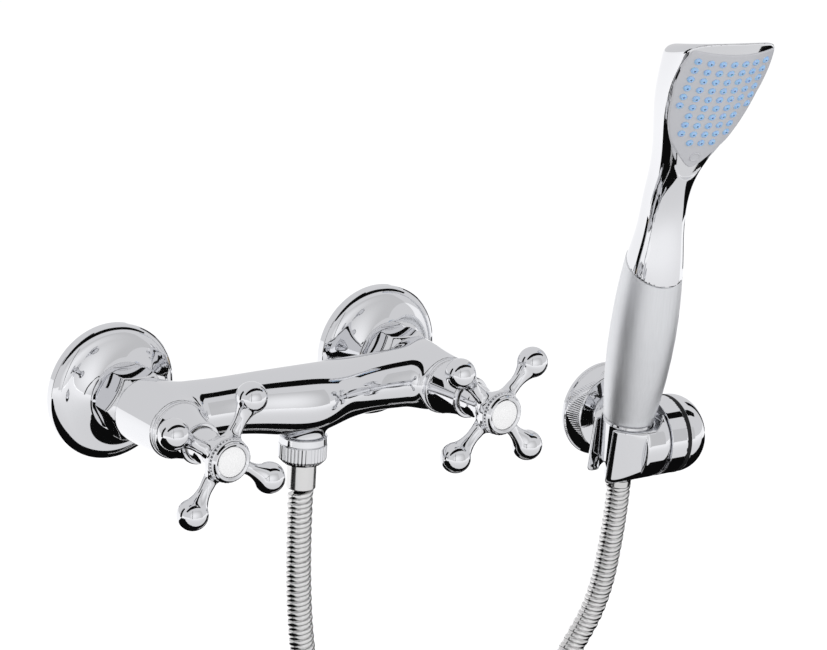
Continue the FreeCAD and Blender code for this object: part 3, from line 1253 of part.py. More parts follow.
def handset_head():
    """The chrome neck and head, trimmed by the seam, the crowned face and the sloping top."""
    at, turn = face_frame(-9.0)
    below = K["plate_tip"].number + 3.5
    corner = turn.multVec(V(-80, -below, 0))
    block = box("head_face_block", 160, K["plate_tip"] + 83.5, 90,
                (at.x + corner.x, at.y + corner.y, at.z + corner.z), turn)
    spray = cut("head_face_cut", block, crown_cylinder("head_face_crown", Size(0.0)))
    top = K["head_top"].number
    top_turn = SPUN.multiply(FreeCAD.Rotation(V(1, 0, 0), -K["top_slope"].number))
    top_at = handset_point(grip_foot.number + top, 0, -face_reach(top))
    corner = top_turn.multVec(V(-60, -60, 0))
    roof = box("head_roof", 120, 160, 60, (top_at.x + corner.x, top_at.y + corner.y,
                                           top_at.z + corner.z), top_turn)
    room = K["plate_proud"] - K["plate_depth"] - K["mat_thickness"] - 0.6
    pocket = plate_layer("head_pocket", 0.12, room, Size(2.0))
    waterway = cylinder("head_waterway", K["tube_radius"] + K["thread_clearance"],
                        K["tube_reach"] + 26.0,
                        on_handset(grip_foot + K["seam_height"] - 18.0), TILTED)
    chamber = plate_layer("head_chamber", -K["chamber_margin"], -K["chamber_depth"], room + 0.1,
                          K["chamber_depth"] + 4.0, K["chamber_drop"])
    channel = cylinder("head_channel", K["tube_bore"] - 2.0, 57.0,
                       on_handset(grip_foot + K["seam_height"] + 10.0), TILTED)
    tools = [seam_box("head_foot_block", False), spray, roof, waterway, channel, pocket, chamber]
    node(cut_each("head_trimmed", head_loft(), tools), "handset_head")


def face_frame(lift):
    """The spray face's own frame at its first row: Y up the face, Z out of it."""
    pitch = FreeCAD.Rotation(V(1, 0, 0), 90.0 + K["face_pitch"].number)
    turn = SPUN.multiply(pitch)
    row = handset_point(grip_foot.number + K["face_row_height"].number, 0,
                        -K["face_row_reach"].number)
    return row.add(turn.multVec(V(0, 0, lift))), turn


def crown_cylinder(name, lift):
    """The spray face's crowned surface, lifted by an amount, as a long cylinder."""
    at, turn = face_frame(-K["face_crown"].number)
    start = at.add(turn.multVec(V(0, -150, 0)))
    return cylinder(name, K["face_crown"] + lift, 260.0, (start.x, start.y, start.z),
                    turn.multiply(FreeCAD.Rotation(V(1, 0, 0), -90)))


def plate_layer(name, margin, low, high, depth=Size(14.0), drop=Size(0.0)):
    """The spray plate's leaf outline between two lifts of the crowned surface; its top
    edge can lie lower than the plate's by a drop."""
    half = K["plate_half_width"] + margin
    top = K["plate_over_row"] + margin - drop
    tip = K["plate_tip"] + margin
    body = doc.addObject("PartDesign::Body", name + "_leaf")
    sketch = outline(body, name + "_outline", "XY_Plane", [
        (half - 2.5, -top), (half, -top + 2.5, 2.5, "left"),
        (half + 0.4, 23.0, 56.0, "left"), (14.2 + margin, 53.0, 74.0, "left"),
        (4.6 + margin, tip - 3.0, 60.0, "left"), (-4.6 - margin, tip - 3.0, 5.6, "left"),
        (-14.2 - margin, 53.0, 60.0, "left"), (-half - 0.4, 23.0, 74.0, "left"),
        (-half, -top + 2.5, 56.0, "left"), (-half + 2.5, -top, 2.5, "left")])
    pad = body.newObject("PartDesign::Pad", name + "_pad")
    pad.Profile = sketch
    bind(pad, Length=depth + 10.0)
    at, turn = face_frame(-depth.number)
    place(body, (at.x, at.y, at.z), turn.multiply(FreeCAD.Rotation(V(0, 0, 1), 180)))
    shell = cut(name + "_shell", crown_cylinder(name + "_outer", high),
                crown_cylinder(name + "_inner", low))
    return common(name + "_layer", [body, shell])


NOZZLE_ROWS = (7, 7, 7, 7, 7, 7, 5, 5, 5, 3)


def nozzle_prisms(name, radius, height, lift):
    """An upright prism at every nozzle's place on the crowned face."""
    prisms = []
    crown = K["face_crown"].number
    for row, count in enumerate(NOZZLE_ROWS):
        for column in range(count):
            across = (column - (count - 1) / 2.0) * K["nozzle_pitch"].number
            at, turn = face_frame(lift + math.sqrt(crown ** 2 - across ** 2) - crown)
            at = at.add(turn.multVec(V(across, -row * K["nozzle_row_pitch"].number, 0)))
            prisms.append(prism("%s_%d_%d" % (name, row + 1, column + 1), K["nozzle_sides"],
                                radius, height, (at.x, at.y, at.z), turn))
    return prisms


def spray_face():
    proud = K["plate_proud"]
    depth = K["plate_depth"]
    back = (proud - depth).number
    plate = plate_layer("spray_plate_blank", 0.0, proud - depth, proud)
    holes = nozzle_prisms("plate_hole", K["nozzle_radius"] + 0.12, depth + 2.5, back - 1.5)
    cap_at, cap_turn = face_frame(proud.number - 0.8)
    cap_at = cap_at.add(cap_turn.multVec(V(0, -K["plate_tip"].number + 12.6, 0)))
    cap_spot = (cap_at.x, cap_at.y, cap_at.z)
    seat = cylinder("cap_seat", K["cap_radius"] + 0.08, 2.0, cap_spot, cap_turn)
    node(cut("spray_plate_bored", plate, holes + [seat]), "spray_plate")
    node(turned("cap_disc", [
        (0, 0.05), (K["cap_radius"], 0.05), (K["cap_radius"], 0.9), (K["cap_radius"] - 0.4, 1.25),
        (0, 1.4)], cap_spot, cap_turn), "plate_cap")
    low = proud - depth - K["mat_thickness"] - 0.05
    mat = plate_layer("mat_blank", -1.6, low, proud - depth - 0.05)
    nozzles = nozzle_prisms("nozzle", K["nozzle_radius"],
                            depth + K["nozzle_height"] + K["mat_thickness"] / 2.0,
                            back - K["mat_thickness"].number / 2.0)
    node(fuse("nozzle_mat_solid", [mat] + nozzles), "nozzle_mat")


for side, sign in (("left", -1), ("right", 1)):
    wall_connector(side, sign)
    rosette(side, sign)
    union_nut(side, sign)
    headwork(side, sign)
    bonnet(side, sign)
    cross_handle(side, sign, K[side + "_handle_turn"])
inlet_washers()
ceramic_seats()
headwork_seals()
mixer_body()
outlet_pieces()
bracket_plate()
bracket_arm()
holder_cup()
bracket_small_pieces()
cone_nut_pieces()
handset_tube()
grip_sleeve()
handset_head()
spray_face()
hose()
hose_tie()
doc.recompute()

failed = [o.Label for o in doc.Objects if "Invalid" in o.State or "Error" in o.State]
if failed:
    raise SystemExit("these objects failed: " + ", ".join(failed))
for piece in nodes:
    if piece.Shape.isNull() or not piece.Shape.isValid():
        raise SystemExit("the shape of %s is not valid" % piece.Label)
os.makedirs("parts", exist_ok=True)
for piece in nodes:
    piece.Shape.exportStep(os.path.join("parts", piece.Label + ".step"))
print("%d pieces written" % len(nodes))
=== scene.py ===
"""Looks of a wall shower mixer set: two cross handles, a metal hose, and a hand shower
in a swivelling wall bracket. Lengths in the classes are millimetres; meshes are in metres.
An outline is a list of rows, each of which holds the fields of a Corner in order."""

import logging
import math
from dataclasses import dataclass
from enum import Enum
from itertools import product
from typing import Callable, Sequence

import bpy
import numpy as np
from mathutils import Matrix, Vector

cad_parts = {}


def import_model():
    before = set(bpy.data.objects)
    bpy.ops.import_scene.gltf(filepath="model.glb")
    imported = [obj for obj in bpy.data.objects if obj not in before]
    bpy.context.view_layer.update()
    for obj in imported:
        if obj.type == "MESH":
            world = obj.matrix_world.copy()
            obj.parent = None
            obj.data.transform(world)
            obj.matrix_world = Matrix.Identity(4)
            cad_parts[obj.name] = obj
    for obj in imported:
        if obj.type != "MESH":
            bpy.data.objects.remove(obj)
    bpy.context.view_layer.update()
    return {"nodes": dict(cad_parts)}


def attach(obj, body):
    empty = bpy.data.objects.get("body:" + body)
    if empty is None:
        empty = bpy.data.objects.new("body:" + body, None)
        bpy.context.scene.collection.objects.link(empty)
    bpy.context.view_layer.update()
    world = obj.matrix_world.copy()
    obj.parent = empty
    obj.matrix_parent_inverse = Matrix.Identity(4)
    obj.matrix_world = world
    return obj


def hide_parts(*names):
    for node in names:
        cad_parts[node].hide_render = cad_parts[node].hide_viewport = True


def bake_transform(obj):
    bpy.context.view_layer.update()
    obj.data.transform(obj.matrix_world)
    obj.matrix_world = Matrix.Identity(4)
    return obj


LOG = logging.getLogger("shower_mixer_set")
MM = 0.001  # metres in a millimetre
TINY = 1e-12  # keeps a divisor from zero
STILL = 1e-9  # a step below it counts as none
Array = np.ndarray
Distance = Callable[[Array, Array, Array], Array]
Outline = Sequence[tuple[float, ...]]
Place = tuple[float, float, float]


# Frames in which the pieces are drawn
def turn_about(axis: str, degrees: float) -> Array:
    """The 3 x 3 rotation about X, Y or Z by an angle.

    Args:
        axis: the name of the axis.
        degrees: the angle, right handed.

    Returns:
        The rotation matrix.
    """
    return np.array(Matrix.Rotation(math.radians(degrees), 3, axis))


@dataclass(frozen=True)
class Seat:
    """Where a piece's own frame sits: an origin in millimetres and a rotation."""

    origin: Place
    turn: Array

    def place(self, points: Array) -> Array:
        """Own millimetres to world metres."""
        return (points @ self.turn.T + np.array(self.origin)) * MM

    def direct(self, vectors: Array) -> Array:
        """Own directions to world directions."""
        return vectors @ self.turn.T

    def moved(self, x: float = 0.0, y: float = 0.0, z: float = 0.0) -> "Seat":
        """The same frame with its origin moved along its own axes."""
        shift = self.turn @ np.array([x, y, z])
        return Seat(tuple(float(v) for v in np.array(self.origin) + shift), self.turn)

    def turned(self, axis: str, degrees: float) -> "Seat":
        """The same origin with the frame turned about one of its own axes."""
        return Seat(self.origin, self.turn @ turn_about(axis, degrees))


# Directions and places that several sub-assemblies share
UPRIGHT = turn_about("Z", 0.0)
OUTWARD = turn_about("X", 90.0)
RIGHTWARD = turn_about("Y", 90.0)
DOWNWARD = turn_about("X", 180.0)
CUP_TILT = 7.5
HEAD_SPIN = -9.0
WORLD = Seat((0.0, 0.0, 0.0), UPRIGHT)
PIVOT = (200.0, -48.0, -52.6)
INLET_X = 75.0
PLATE_SEAT = Seat((220.7, 0.0, PIVOT[2]), OUTWARD)
CUP_SEAT = Seat(PIVOT, turn_about("X", CUP_TILT))
HAND_SEAT = CUP_SEAT.turned("Z", HEAD_SPIN)
GRIP_FOOT = 12.9
GRIP_SEAT = HAND_SEAT.moved(z=GRIP_FOOT)
CONE_TOP = GRIP_FOOT - 0.15
BARREL_RADIUS = 20.2
OUTLET = (0.0, -55.0, -16.2)
HOSE_TOP = -43.0


# Outlines and curves
MOST_EASED = 0.45  # share of a run that an easing may take at one end
ARC_STEP = 2.5  # degrees between points on an arc
EASE_STEPS = 6  # steps across an eased corner


def unit(vectors: Array) -> Array:
    """Vectors over their lengths."""
    return vectors / np.maximum(np.linalg.norm(vectors, axis=-1, keepdims=True), TINY)


@dataclass(frozen=True)
class Corner:
    """A corner of a turned outline: radius, height, the length that its rounding takes from
    each side, and the radius of an arc that arrives here (its centre left of the way, or
    right of it where the radius is negative)."""

    radius: float
    height: float
    ease: float = 0.25
    arc: float = 0.0


@dataclass(frozen=True)
class Run:
    """One straight or circular run of an outline, between two corners."""

    start: Array
    end: Array
    arc: float

    @property
    def chord(self) -> float:
        """The straight distance from end to end."""
        return float(np.linalg.norm(self.end - self.start))

    @property
    def sweep(self) -> float:
        """The angle that the arc turns through: twice the arcsine of half chord over radius."""
        return 2.0 * math.asin(min(1.0, self.chord / 2.0 / abs(self.arc))) if self.arc else 0.0

    @property
    def length(self) -> float:
        """The length along the run."""
        return abs(self.arc) * self.sweep if self.arc else self.chord

    def sample(self, distances: Array) -> tuple[Array, Array]:
        """Points and directions at distances along the run.

        Args:
            distances: distances from the start.

        Returns:
            Points and unit tangents, each an (n, 2) array.
        """
        along = (self.end - self.start) / self.chord
        if not self.arc:
            return self.start + distances[:, None] * along, np.tile(along, (len(distances), 1))
        normal = np.array([-along[1], along[0]])
        side = math.copysign(1.0, self.arc)
        leg = math.sqrt(max(self.arc ** 2 - self.chord ** 2 / 4.0, 0.0))
        centre = (self.start + self.end) / 2.0 + side * leg * normal
        first = self.start - centre
        angle = math.atan2(first[1], first[0]) + side * distances / abs(self.arc)
        spoke = np.stack([np.cos(angle), np.sin(angle)], 1)
        tangent = side * np.stack([-np.sin(angle), np.cos(angle)], 1)
        return centre + abs(self.arc) * spoke, tangent


def eased_outline(rows: Outline, closed: bool) -> tuple[Array, Array]:
    """An outline whose corners are bridged by parabolas.

    Args:
        rows: the corners in order.
        closed: True if the last corner runs back to the first.

    Returns:
        Points (radius, height) and unit tangents along the way.
    """
    corners = [Corner(*row) for row in rows]
    count = len(corners)
    spots = [np.array([c.radius, c.height], float) for c in corners]
    runs = [Run(spots[i], spots[(i + 1) % count], corners[(i + 1) % count].arc)
            for i in range(count if closed else count - 1)]
    cuts = [0.0] * count
    for i in range(0 if closed else 1, count if closed else count - 1):
        cuts[i] = min(corners[i].ease, *(MOST_EASED * run.length for run in (runs[i - 1], runs[i])))
    points, tangents = [], []
    share = np.linspace(0.0, 1.0, EASE_STEPS + 1)[1:-1, None]
    for i, run in enumerate(runs):
        last = (i + 1) % count
        steps = max(2, int(math.degrees(run.sweep) / ARC_STEP) + 2)
        here, along = run.sample(np.linspace(cuts[i], run.length - cuts[last], steps))
        points.append(here)
        tangents.append(along)
        if cuts[last] > 0.0:
            after = runs[(i + 1) % len(runs)].sample(np.array([cuts[last]]))[0][0]
            corner = spots[last]
            points.append((1 - share) ** 2 * here[-1] + 2 * share * (1 - share) * corner
                          + share ** 2 * after)
            tangents.append(unit((1 - share) * (corner - here[-1]) + share * (after - corner)))
    return np.concatenate(points), np.concatenate(tangents)


class SmoothCurve:
    """A natural cubic spline through stations: its second derivative is continuous, and the
    unknown slopes' equations are solved as one linear system."""

    def __init__(self, stations: Sequence[float], values: Sequence[float]) -> None:
        """Solves the spline's second derivatives.

        Args:
            stations: rising places.
            values: the curve's value at each.
        """
        self.x = np.array(stations, float)
        self.y = np.array(values, float)
        gap = np.diff(self.x)
        size = len(self.x)
        matrix = np.eye(size)
        right = np.zeros(size)
        inner = np.arange(1, size - 1)
        matrix[inner, inner - 1] = gap[:-1]
        matrix[inner, inner] = 2.0 * (gap[:-1] + gap[1:])
        matrix[inner, inner + 1] = gap[1:]
        rise = np.diff(self.y) / gap
        right[1:-1] = 6.0 * (rise[1:] - rise[:-1])
        self.bend = np.linalg.solve(matrix, right)

    def __call__(self, at: Array) -> Array:
        """The curve's value at places, held at its end values outside them.

        Args:
            at: the places.

        Returns:
            The value at each.
        """
        at = np.clip(at, self.x[0], self.x[-1])
        i = np.clip(np.searchsorted(self.x, at) - 1, 0, len(self.x) - 2)
        gap = self.x[i + 1] - self.x[i]
        a = (self.x[i + 1] - at) / gap
        b = 1.0 - a
        return (a * self.y[i] + b * self.y[i + 1]
                + ((a ** 3 - a) * self.bend[i] + (b ** 3 - b) * self.bend[i + 1]) * gap ** 2 / 6.0)


def ramp(value: Array, low: float, high: float) -> Array:
    """0 below low, 1 above high, and a smooth cubic step between."""
    share = np.clip((value - low) / (high - low), 0.0, 1.0)
    return share * share * (3.0 - 2.0 * share)


# Meshes
@dataclass
class Skin:
    """A surface as arrays: world points in metres, quads, triangles and vertex normals."""

    points: Array
    quads: Array
    triangles: Array
    normals: Array

    def faced_outwards(self) -> "Skin":
        """Turns the faces and the normals so that the enclosed volume is positive.

        Returns:
            This skin.
        """
        faces = np.concatenate([self.quads[:, [0, 1, 2]], self.quads[:, [0, 2, 3]],
                                self.triangles])
        a, b, c = (self.points[faces[:, k]] for k in range(3))
        cross = np.cross(b - a, c - a)
        if np.einsum("ij,ij->", a, cross) < 0.0:
            self.quads, self.triangles = self.quads[:, ::-1], self.triangles[:, ::-1]
            cross = -cross
        if np.einsum("ij,ij->", cross, self.normals[faces[:, 0]]) < 0.0:
            self.normals = -self.normals
        return self

    def placed(self, seat: Seat) -> "Skin":
        """A copy in another frame; the points are taken as millimetres of that frame."""
        return Skin(seat.place(self.points / MM), self.quads.copy(), self.triangles.copy(),
                    seat.direct(self.normals))

    @staticmethod
    def joined(skins: Sequence["Skin"]) -> "Skin":
        """Several surfaces as one.

        Args:
            skins: the surfaces.

        Returns:
            One surface with their arrays end to end.
        """
        starts = np.cumsum([0] + [len(s.points) for s in skins[:-1]])
        return Skin(np.concatenate([s.points for s in skins]),
                    np.concatenate([s.quads + n for s, n in zip(skins, starts)]),
                    np.concatenate([s.triangles + n for s, n in zip(skins, starts)]),
                    np.concatenate([s.normals for s in skins]))

    def piece(self, name: str) -> bpy.types.Object:
        """Makes the Blender object, smooth shaded, with the exact normals.

        Args:
            name: the piece's name.

        Returns:
            The new object, linked to the scene.
        """
        self.faced_outwards()
        mesh = bpy.data.meshes.new(name)
        corner = np.concatenate([self.quads.ravel(), self.triangles.ravel()]).astype(np.int32)
        sizes = np.concatenate([np.full(len(self.quads), 4), np.full(len(self.triangles), 3)])
        mesh.vertices.add(len(self.points))
        mesh.vertices.foreach_set("co", self.points.ravel().astype(np.float32))
        mesh.loops.add(len(corner))
        mesh.loops.foreach_set("vertex_index", corner)
        mesh.polygons.add(len(sizes))
        mesh.polygons.foreach_set("loop_start", np.cumsum(sizes) - sizes)
        mesh.update(calc_edges=True)
        mesh.validate()
        mesh.shade_smooth()
        mesh.normals_split_custom_set_from_vertices(self.normals.astype(np.float32))
        return linked(name, mesh)


def linked(name: str, data: bpy.types.ID) -> bpy.types.Object:
    """A new object of the scene with this data.

    Args:
        name: its name.
        data: its mesh, curve, camera or lamp.

    Returns:
        The object.
    """
    made = bpy.data.objects.new(name, data)
    bpy.context.scene.collection.objects.link(made)
    return made


def grid_quads(rows: int, columns: int, closed_rows: bool, closed_columns: bool) -> Array:
    """The quads of a grid whose vertices are numbered row by row.

    Args:
        rows: number of rows of vertices.
        columns: number of vertices in a row.
        closed_rows: True if the last row joins the first.
        closed_columns: True if the last column joins the first.

    Returns:
        An (n, 4) array of vertex numbers.
    """
    i = np.arange(rows if closed_rows else rows - 1)[:, None]
    j = np.arange(columns if closed_columns else columns - 1)[None, :]
    below, right = (i + 1) % rows, (j + 1) % columns
    return np.stack([i * columns + j, i * columns + right, below * columns + right,
                     below * columns + j], -1).reshape(-1, 4)


def fan(hub: int, ring: Array, onward: bool) -> Array:
    """Triangles from a hub to the sides of a closed ring of vertices, along it or back.

    Args:
        hub: the hub's number.
        ring: the ring's vertex numbers in order.
        onward: True for triangles that run along the ring.

    Returns:
        An (n, 3) array of vertex numbers.
    """
    following = np.roll(ring, -1)
    ends = (ring, following) if onward else (following, ring)
    return np.stack([np.full(len(ring), hub), *ends], 1)


@dataclass(frozen=True)
class Ripple:
    """Grooves round a turned piece: the radius loses depth times a raised cosine of the
    angle, to the power keen, between two heights."""

    count: int
    depth: float
    low: float
    high: float
    keen: float = 1.0
    fade: float = 0.12

    def cut(self, angle: Array, height: Array) -> Array:
        """How much the radius loses at angles and heights.

        Args:
            angle: angles in radians.
            height: heights along the axis.

        Returns:
            The loss in millimetres.
        """
        inside = ramp(height, self.low - self.fade, self.low + self.fade) \
            * (1.0 - ramp(height, self.high - self.fade, self.high + self.fade))
        wave = (0.5 + 0.5 * np.cos(self.count * angle)) ** self.keen
        return self.depth * wave * inside


def lathe(rows: Outline, seat: Seat, columns: int = 128, ripple: Ripple | None = None,
          shift: Callable[[Array, Array, Array], Array] | None = None) -> Skin:
    """A turned surface: the outline's radius swept round the seat's Z axis by every angle,
    less the ripple, with an optional shift of the height.

    Args:
        rows: the outline, from axis to axis, or a closed ring.
        seat: the frame that it is turned in.
        columns: number of steps round.
        ripple: grooves round it.
        shift: a function of radius, height and angle that gives the new height.

    Returns:
        The closed surface with its normals.
    """
    on_axis = rows[0][0] == 0.0
    outline, tangent = eased_outline(rows, closed=not on_axis)
    angle = np.arange(columns) * (2.0 * math.pi / columns)
    radius = np.repeat(outline[:, :1], columns, 1)
    height = np.repeat(outline[:, 1:], columns, 1)
    if ripple:
        radius = radius - ripple.cut(angle[None, :], height)
    if shift:
        height = shift(radius, height, angle[None, :])
    cos, sin = np.cos(angle)[None, :], np.sin(angle)[None, :]
    grid = np.stack([radius * cos, radius * sin, height], -1)
    round_step = np.roll(grid, -1, 1) - np.roll(grid, 1, 1)
    flat = np.abs(round_step).sum(-1) < STILL
    round_step[flat] = np.stack([-sin + 0 * radius, cos + 0 * radius, 0 * radius], -1)[flat]
    if shift:
        long_step = np.gradient(grid, axis=0)
    else:
        long_step = np.stack([tangent[:, :1] * cos, tangent[:, :1] * sin,
                              np.repeat(tangent[:, 1:], columns, 1)], -1)
    normal = unit(np.cross(round_step, long_step))
    count = len(outline)
    if not on_axis:
        return Skin(seat.place(grid.reshape(-1, 3)), grid_quads(count, columns, True, True),
                    np.zeros((0, 3), int), seat.direct(normal.reshape(-1, 3)))
    inner = grid[1:-1].reshape(-1, 3)
    tips = np.where(normal[[1, -2], :, 2].mean(1) < 0.0, -1.0, 1.0)[:, None] * np.eye(3)[2]
    ring = np.arange(columns)
    fans = np.concatenate([fan(len(inner), ring, False),
                           fan(len(inner) + 1, ring + (count - 3) * columns, True)])
    return Skin(seat.place(np.concatenate([inner, grid[[0, -1]].mean(1)])),
                grid_quads(count - 2, columns, False, True), fans,
                seat.direct(np.concatenate([normal[1:-1].reshape(-1, 3), tips])))


# Cast shapes as signed distances, negative inside
def blend(a: Array, b: Array, reach: float) -> Array:
    """The union of two distances, with a fillet about as large as reach: the smaller of the
    two, less a parabola where they are nearly equal."""
    share = np.clip(0.5 + 0.5 * (b - a) / reach, 0.0, 1.0)
    return b + (a - b) * share - reach * share * (1.0 - share)


def meet(a: Array, b: Array, reach: float) -> Array:
    """What two shapes have in common, with an edge rounded by about reach."""
    return -blend(-a, -b, reach)


def carve(a: Array, b: Array, reach: float) -> Array:
    """The first shape less the second, with an edge rounded by about reach."""
    return meet(a, -b, reach)


def outline_distance(outline: Array, radius: Array, height: Array,
                     from_axis: bool = False) -> Array:
    """Signed distance to a closed outline in the plane: the least distance to its sides,
    negative where a ray crosses them an odd number of times. The last side is left out
    where it lies on a turned shape's axis.

    Args:
        outline: its corners as an (n, 2) array.
        radius: first coordinates.
        height: second coordinates.
        from_axis: True for an outline whose last side lies on the axis.

    Returns:
        The distance at each place.
    """
    least = np.full(radius.shape, np.inf)
    odd = np.zeros(radius.shape, bool)
    ends = np.roll(outline, -1, 0)
    for a, b in zip(outline[:len(outline) - from_axis], ends[:len(outline) - from_axis]):
        side = b - a
        length = max(float(side @ side), TINY)
        x, y = radius - a[0], height - a[1]
        share = np.clip((x * side[0] + y * side[1]) / length, 0.0, 1.0)
        least = np.minimum(least, (x - share * side[0]) ** 2 + (y - share * side[1]) ** 2)
        crosses = (a[1] > height) != (b[1] > height)
        if a[1] != b[1]:
            odd ^= crosses & (radius < a[0] + (height - a[1]) * side[0] / side[1])
    return np.where(odd, -1.0, 1.0) * np.sqrt(least)


def turned_distance(rows: Outline, across: Array, height: Array) -> Array:
    """Signed distance to a turned solid whose outline runs from axis to axis."""
    return outline_distance(eased_outline(rows, False)[0], np.abs(across), height, True)


BLOCK = 5  # grid steps along a block
NEAR_BLOCKS = 1.6  # blocks from a block's middle within which the surface may pass it
NEWTON_STEPS = 3
PROBE = 0.02  # step of a gradient, in millimetres
LEAST_SLOPE = 0.05  # least squared gradient that a Newton step divides by


def cast(field: Distance, low: Sequence[float], high: Sequence[float], step: float,
         seat: Seat) -> Skin:
    """The surface where a signed distance is zero. The field is read in the middle of
    coarse blocks, and again at each grid point of the blocks near the surface. The grid's
    cells that the surface passes each get one vertex, which Newton steps move onto it along
    the gradient; a quad joins the four cells round each grid edge whose ends lie on
    different sides. The normal is the gradient, by central differences.

    Args:
        field: the distance at own coordinates in millimetres.
        low: lowest corner of the grid.
        high: highest corner of the grid.
        step: the grid's spacing.
        seat: the frame that the field is in.

    Returns:
        The closed surface with its normals.
    """
    def at(rows: Array) -> Array:
        """The field at an (n, 3) array of points."""
        return field(*rows.T)

    blocks = [int(math.ceil((b - a) / step / BLOCK)) + 1 for a, b in zip(low, high)]
    middles = [a + (np.arange(n) + 0.5) * BLOCK * step - step / 2.0 for a, n in zip(low, blocks)]
    coarse = at(np.stack(np.meshgrid(*middles, indexing="ij"), -1).reshape(-1, 3))
    inside = (coarse < 0.0).reshape(blocks)
    near = (np.abs(coarse) < BLOCK * step * NEAR_BLOCKS).reshape(blocks)
    for axis in range(3):
        inside, near = inside.repeat(BLOCK, axis), near.repeat(BLOCK, axis)
    inside[near] = at(np.array(low) + np.argwhere(near) * step) < 0.0
    within = [(slice(None, -1), slice(1, None))] * 3
    total = sum(inside[corner].astype(int) for corner in product(*within))
    mixed = (total > 0) & (total < 8)
    number = np.full(total.shape, -1)
    number[mixed] = np.arange(int(mixed.sum()))
    points = np.array(low) + (np.argwhere(mixed) + 0.5) * step
    probes = np.eye(3) * PROBE
    for _ in range(NEWTON_STEPS):
        value = at(points)
        gradient = np.stack([at(points + p) - value for p in probes], 1) / PROBE
        strength = np.maximum((gradient ** 2).sum(1), LEAST_SLOPE)
        points = points - np.clip(gradient * (value / strength)[:, None], -step, step)
    normal = unit(np.stack([at(points + p) - at(points - p) for p in probes], 1))
    quads = []
    for axis in range(3):
        order = (axis, (axis + 1) % 3, (axis + 2) % 3)
        side, cell = inside.transpose(order), number.transpose(order)
        here, there = side[:-1, 1:-1, 1:-1], side[1:, 1:-1, 1:-1]
        around = np.stack([cell[:, :-1, :-1], cell[:, 1:, :-1], cell[:, 1:, 1:],
                           cell[:, :-1, 1:]], -1)
        quads += [around[here & ~there], around[~here & there][:, ::-1]]
    return Skin(seat.place(points), np.concatenate(quads), np.zeros((0, 3), int),
                seat.direct(normal))


# Shader expressions and finishes
def arithmetic(operation: str) -> tuple[Callable, Callable]:
    """Makes an operator of sockets and its reflected form; each use adds a Math node.

    Args:
        operation: the Math node's operation.

    Returns:
        The operator and its reflected form.
    """
    def plain(self: "Socket", other: "Socket | float") -> "Socket":
        """The operation on this value and another."""
        return self.graph.math(operation, self, other)

    def reflected(self: "Socket", other: float) -> "Socket":
        """The operation on a number and this value."""
        return self.graph.math(operation, other, self)

    return plain, reflected


class Socket:
    """A shader value with arithmetic."""

    __add__, __radd__ = arithmetic("ADD")
    __sub__, __rsub__ = arithmetic("SUBTRACT")
    __mul__, __rmul__ = arithmetic("MULTIPLY")

    def __init__(self, graph: "Graph", link: bpy.types.NodeSocket) -> None:
        """Wraps an output socket."""
        self.graph = graph
        self.link = link

    def step(self, low: float, high: float) -> "Socket":
        """0 below low, 1 above high, smooth between."""
        return self.graph.add("ShaderNodeMapRange", {"interpolation_type": "SMOOTHSTEP"},
                              {"Value": self, "From Min": low, "From Max": high})


class Graph:
    """The node tree of one material: one method adds any node."""

    def __init__(self, name: str) -> None:
        """Starts a material with a Principled shader.

        Args:
            name: the material's name.
        """
        self.material = bpy.data.materials.new(name)
        self.material.use_nodes = True
        self.tree = self.material.node_tree
        self.shader = self.tree.nodes["Principled BSDF"]
        self.place = self.add("ShaderNodeTexCoord", {}, {}, "Object")

    def put(self, value: object, target: bpy.types.NodeSocket) -> None:
        """Links a socket to an input, or sets a plain value on it."""
        if isinstance(value, Socket):
            self.tree.links.new(value.link, target)
        else:
            target.default_value = value

    def add(self, kind: str, settings: dict[str, object], inputs: dict[int | str, object],
            output: int | str = 0) -> Socket:
        """Adds a node.

        Args:
            kind: the node's type.
            settings: properties, set before the inputs.
            inputs: values or sockets, by index or name.
            output: which output comes back.

        Returns:
            The output as a socket.
        """
        node = self.tree.nodes.new(kind)
        for key, value in settings.items():
            setattr(node, key, value)
        for key, value in inputs.items():
            self.put(value, node.inputs[key])
        return Socket(self, node.outputs[output])

    def math(self, operation: str, *values: "Socket | float") -> Socket:
        """One Math node."""
        return self.add("ShaderNodeMath", {"operation": operation}, dict(enumerate(values)))

    def noise(self, scale: float, stretch: Place = (1.0, 1.0, 1.0), detail: float = 3.0
              ) -> Socket:
        """Noise on Object coordinates, stretched by three factors; its mean is a half."""
        at = self.add("ShaderNodeMapping", {}, {"Vector": self.place, "Scale": stretch})
        return self.add("ShaderNodeTexNoise", {}, {"Vector": at, "Scale": scale,
                                                   "Detail": detail, "Roughness": 0.55})

    def feed(self, values: dict[str, object]) -> None:
        """Links or sets the shader's sockets by their names."""
        for name, value in values.items():
            self.put(value, self.shader.inputs[name])

    def bump(self, height: Socket, depth: float) -> None:
        """Feeds the shader's normal from a height, with a depth in metres."""
        self.feed({"Normal": self.add("ShaderNodeBump", {}, {"Strength": 1.0, "Distance": depth,
                                                             "Height": height})})

    def show(self, shader: Socket) -> None:
        """Makes another shader the material's surface."""
        self.put(shader, self.tree.nodes["Material Output"].inputs["Surface"])
        self.tree.nodes.remove(self.shader)


def rgba(colour: Sequence[float], share: float = 1.0) -> tuple[float, ...]:
    """A colour times a share, at most white, with full alpha."""
    return (*(min(1.0, part * share) for part in colour), 1.0)


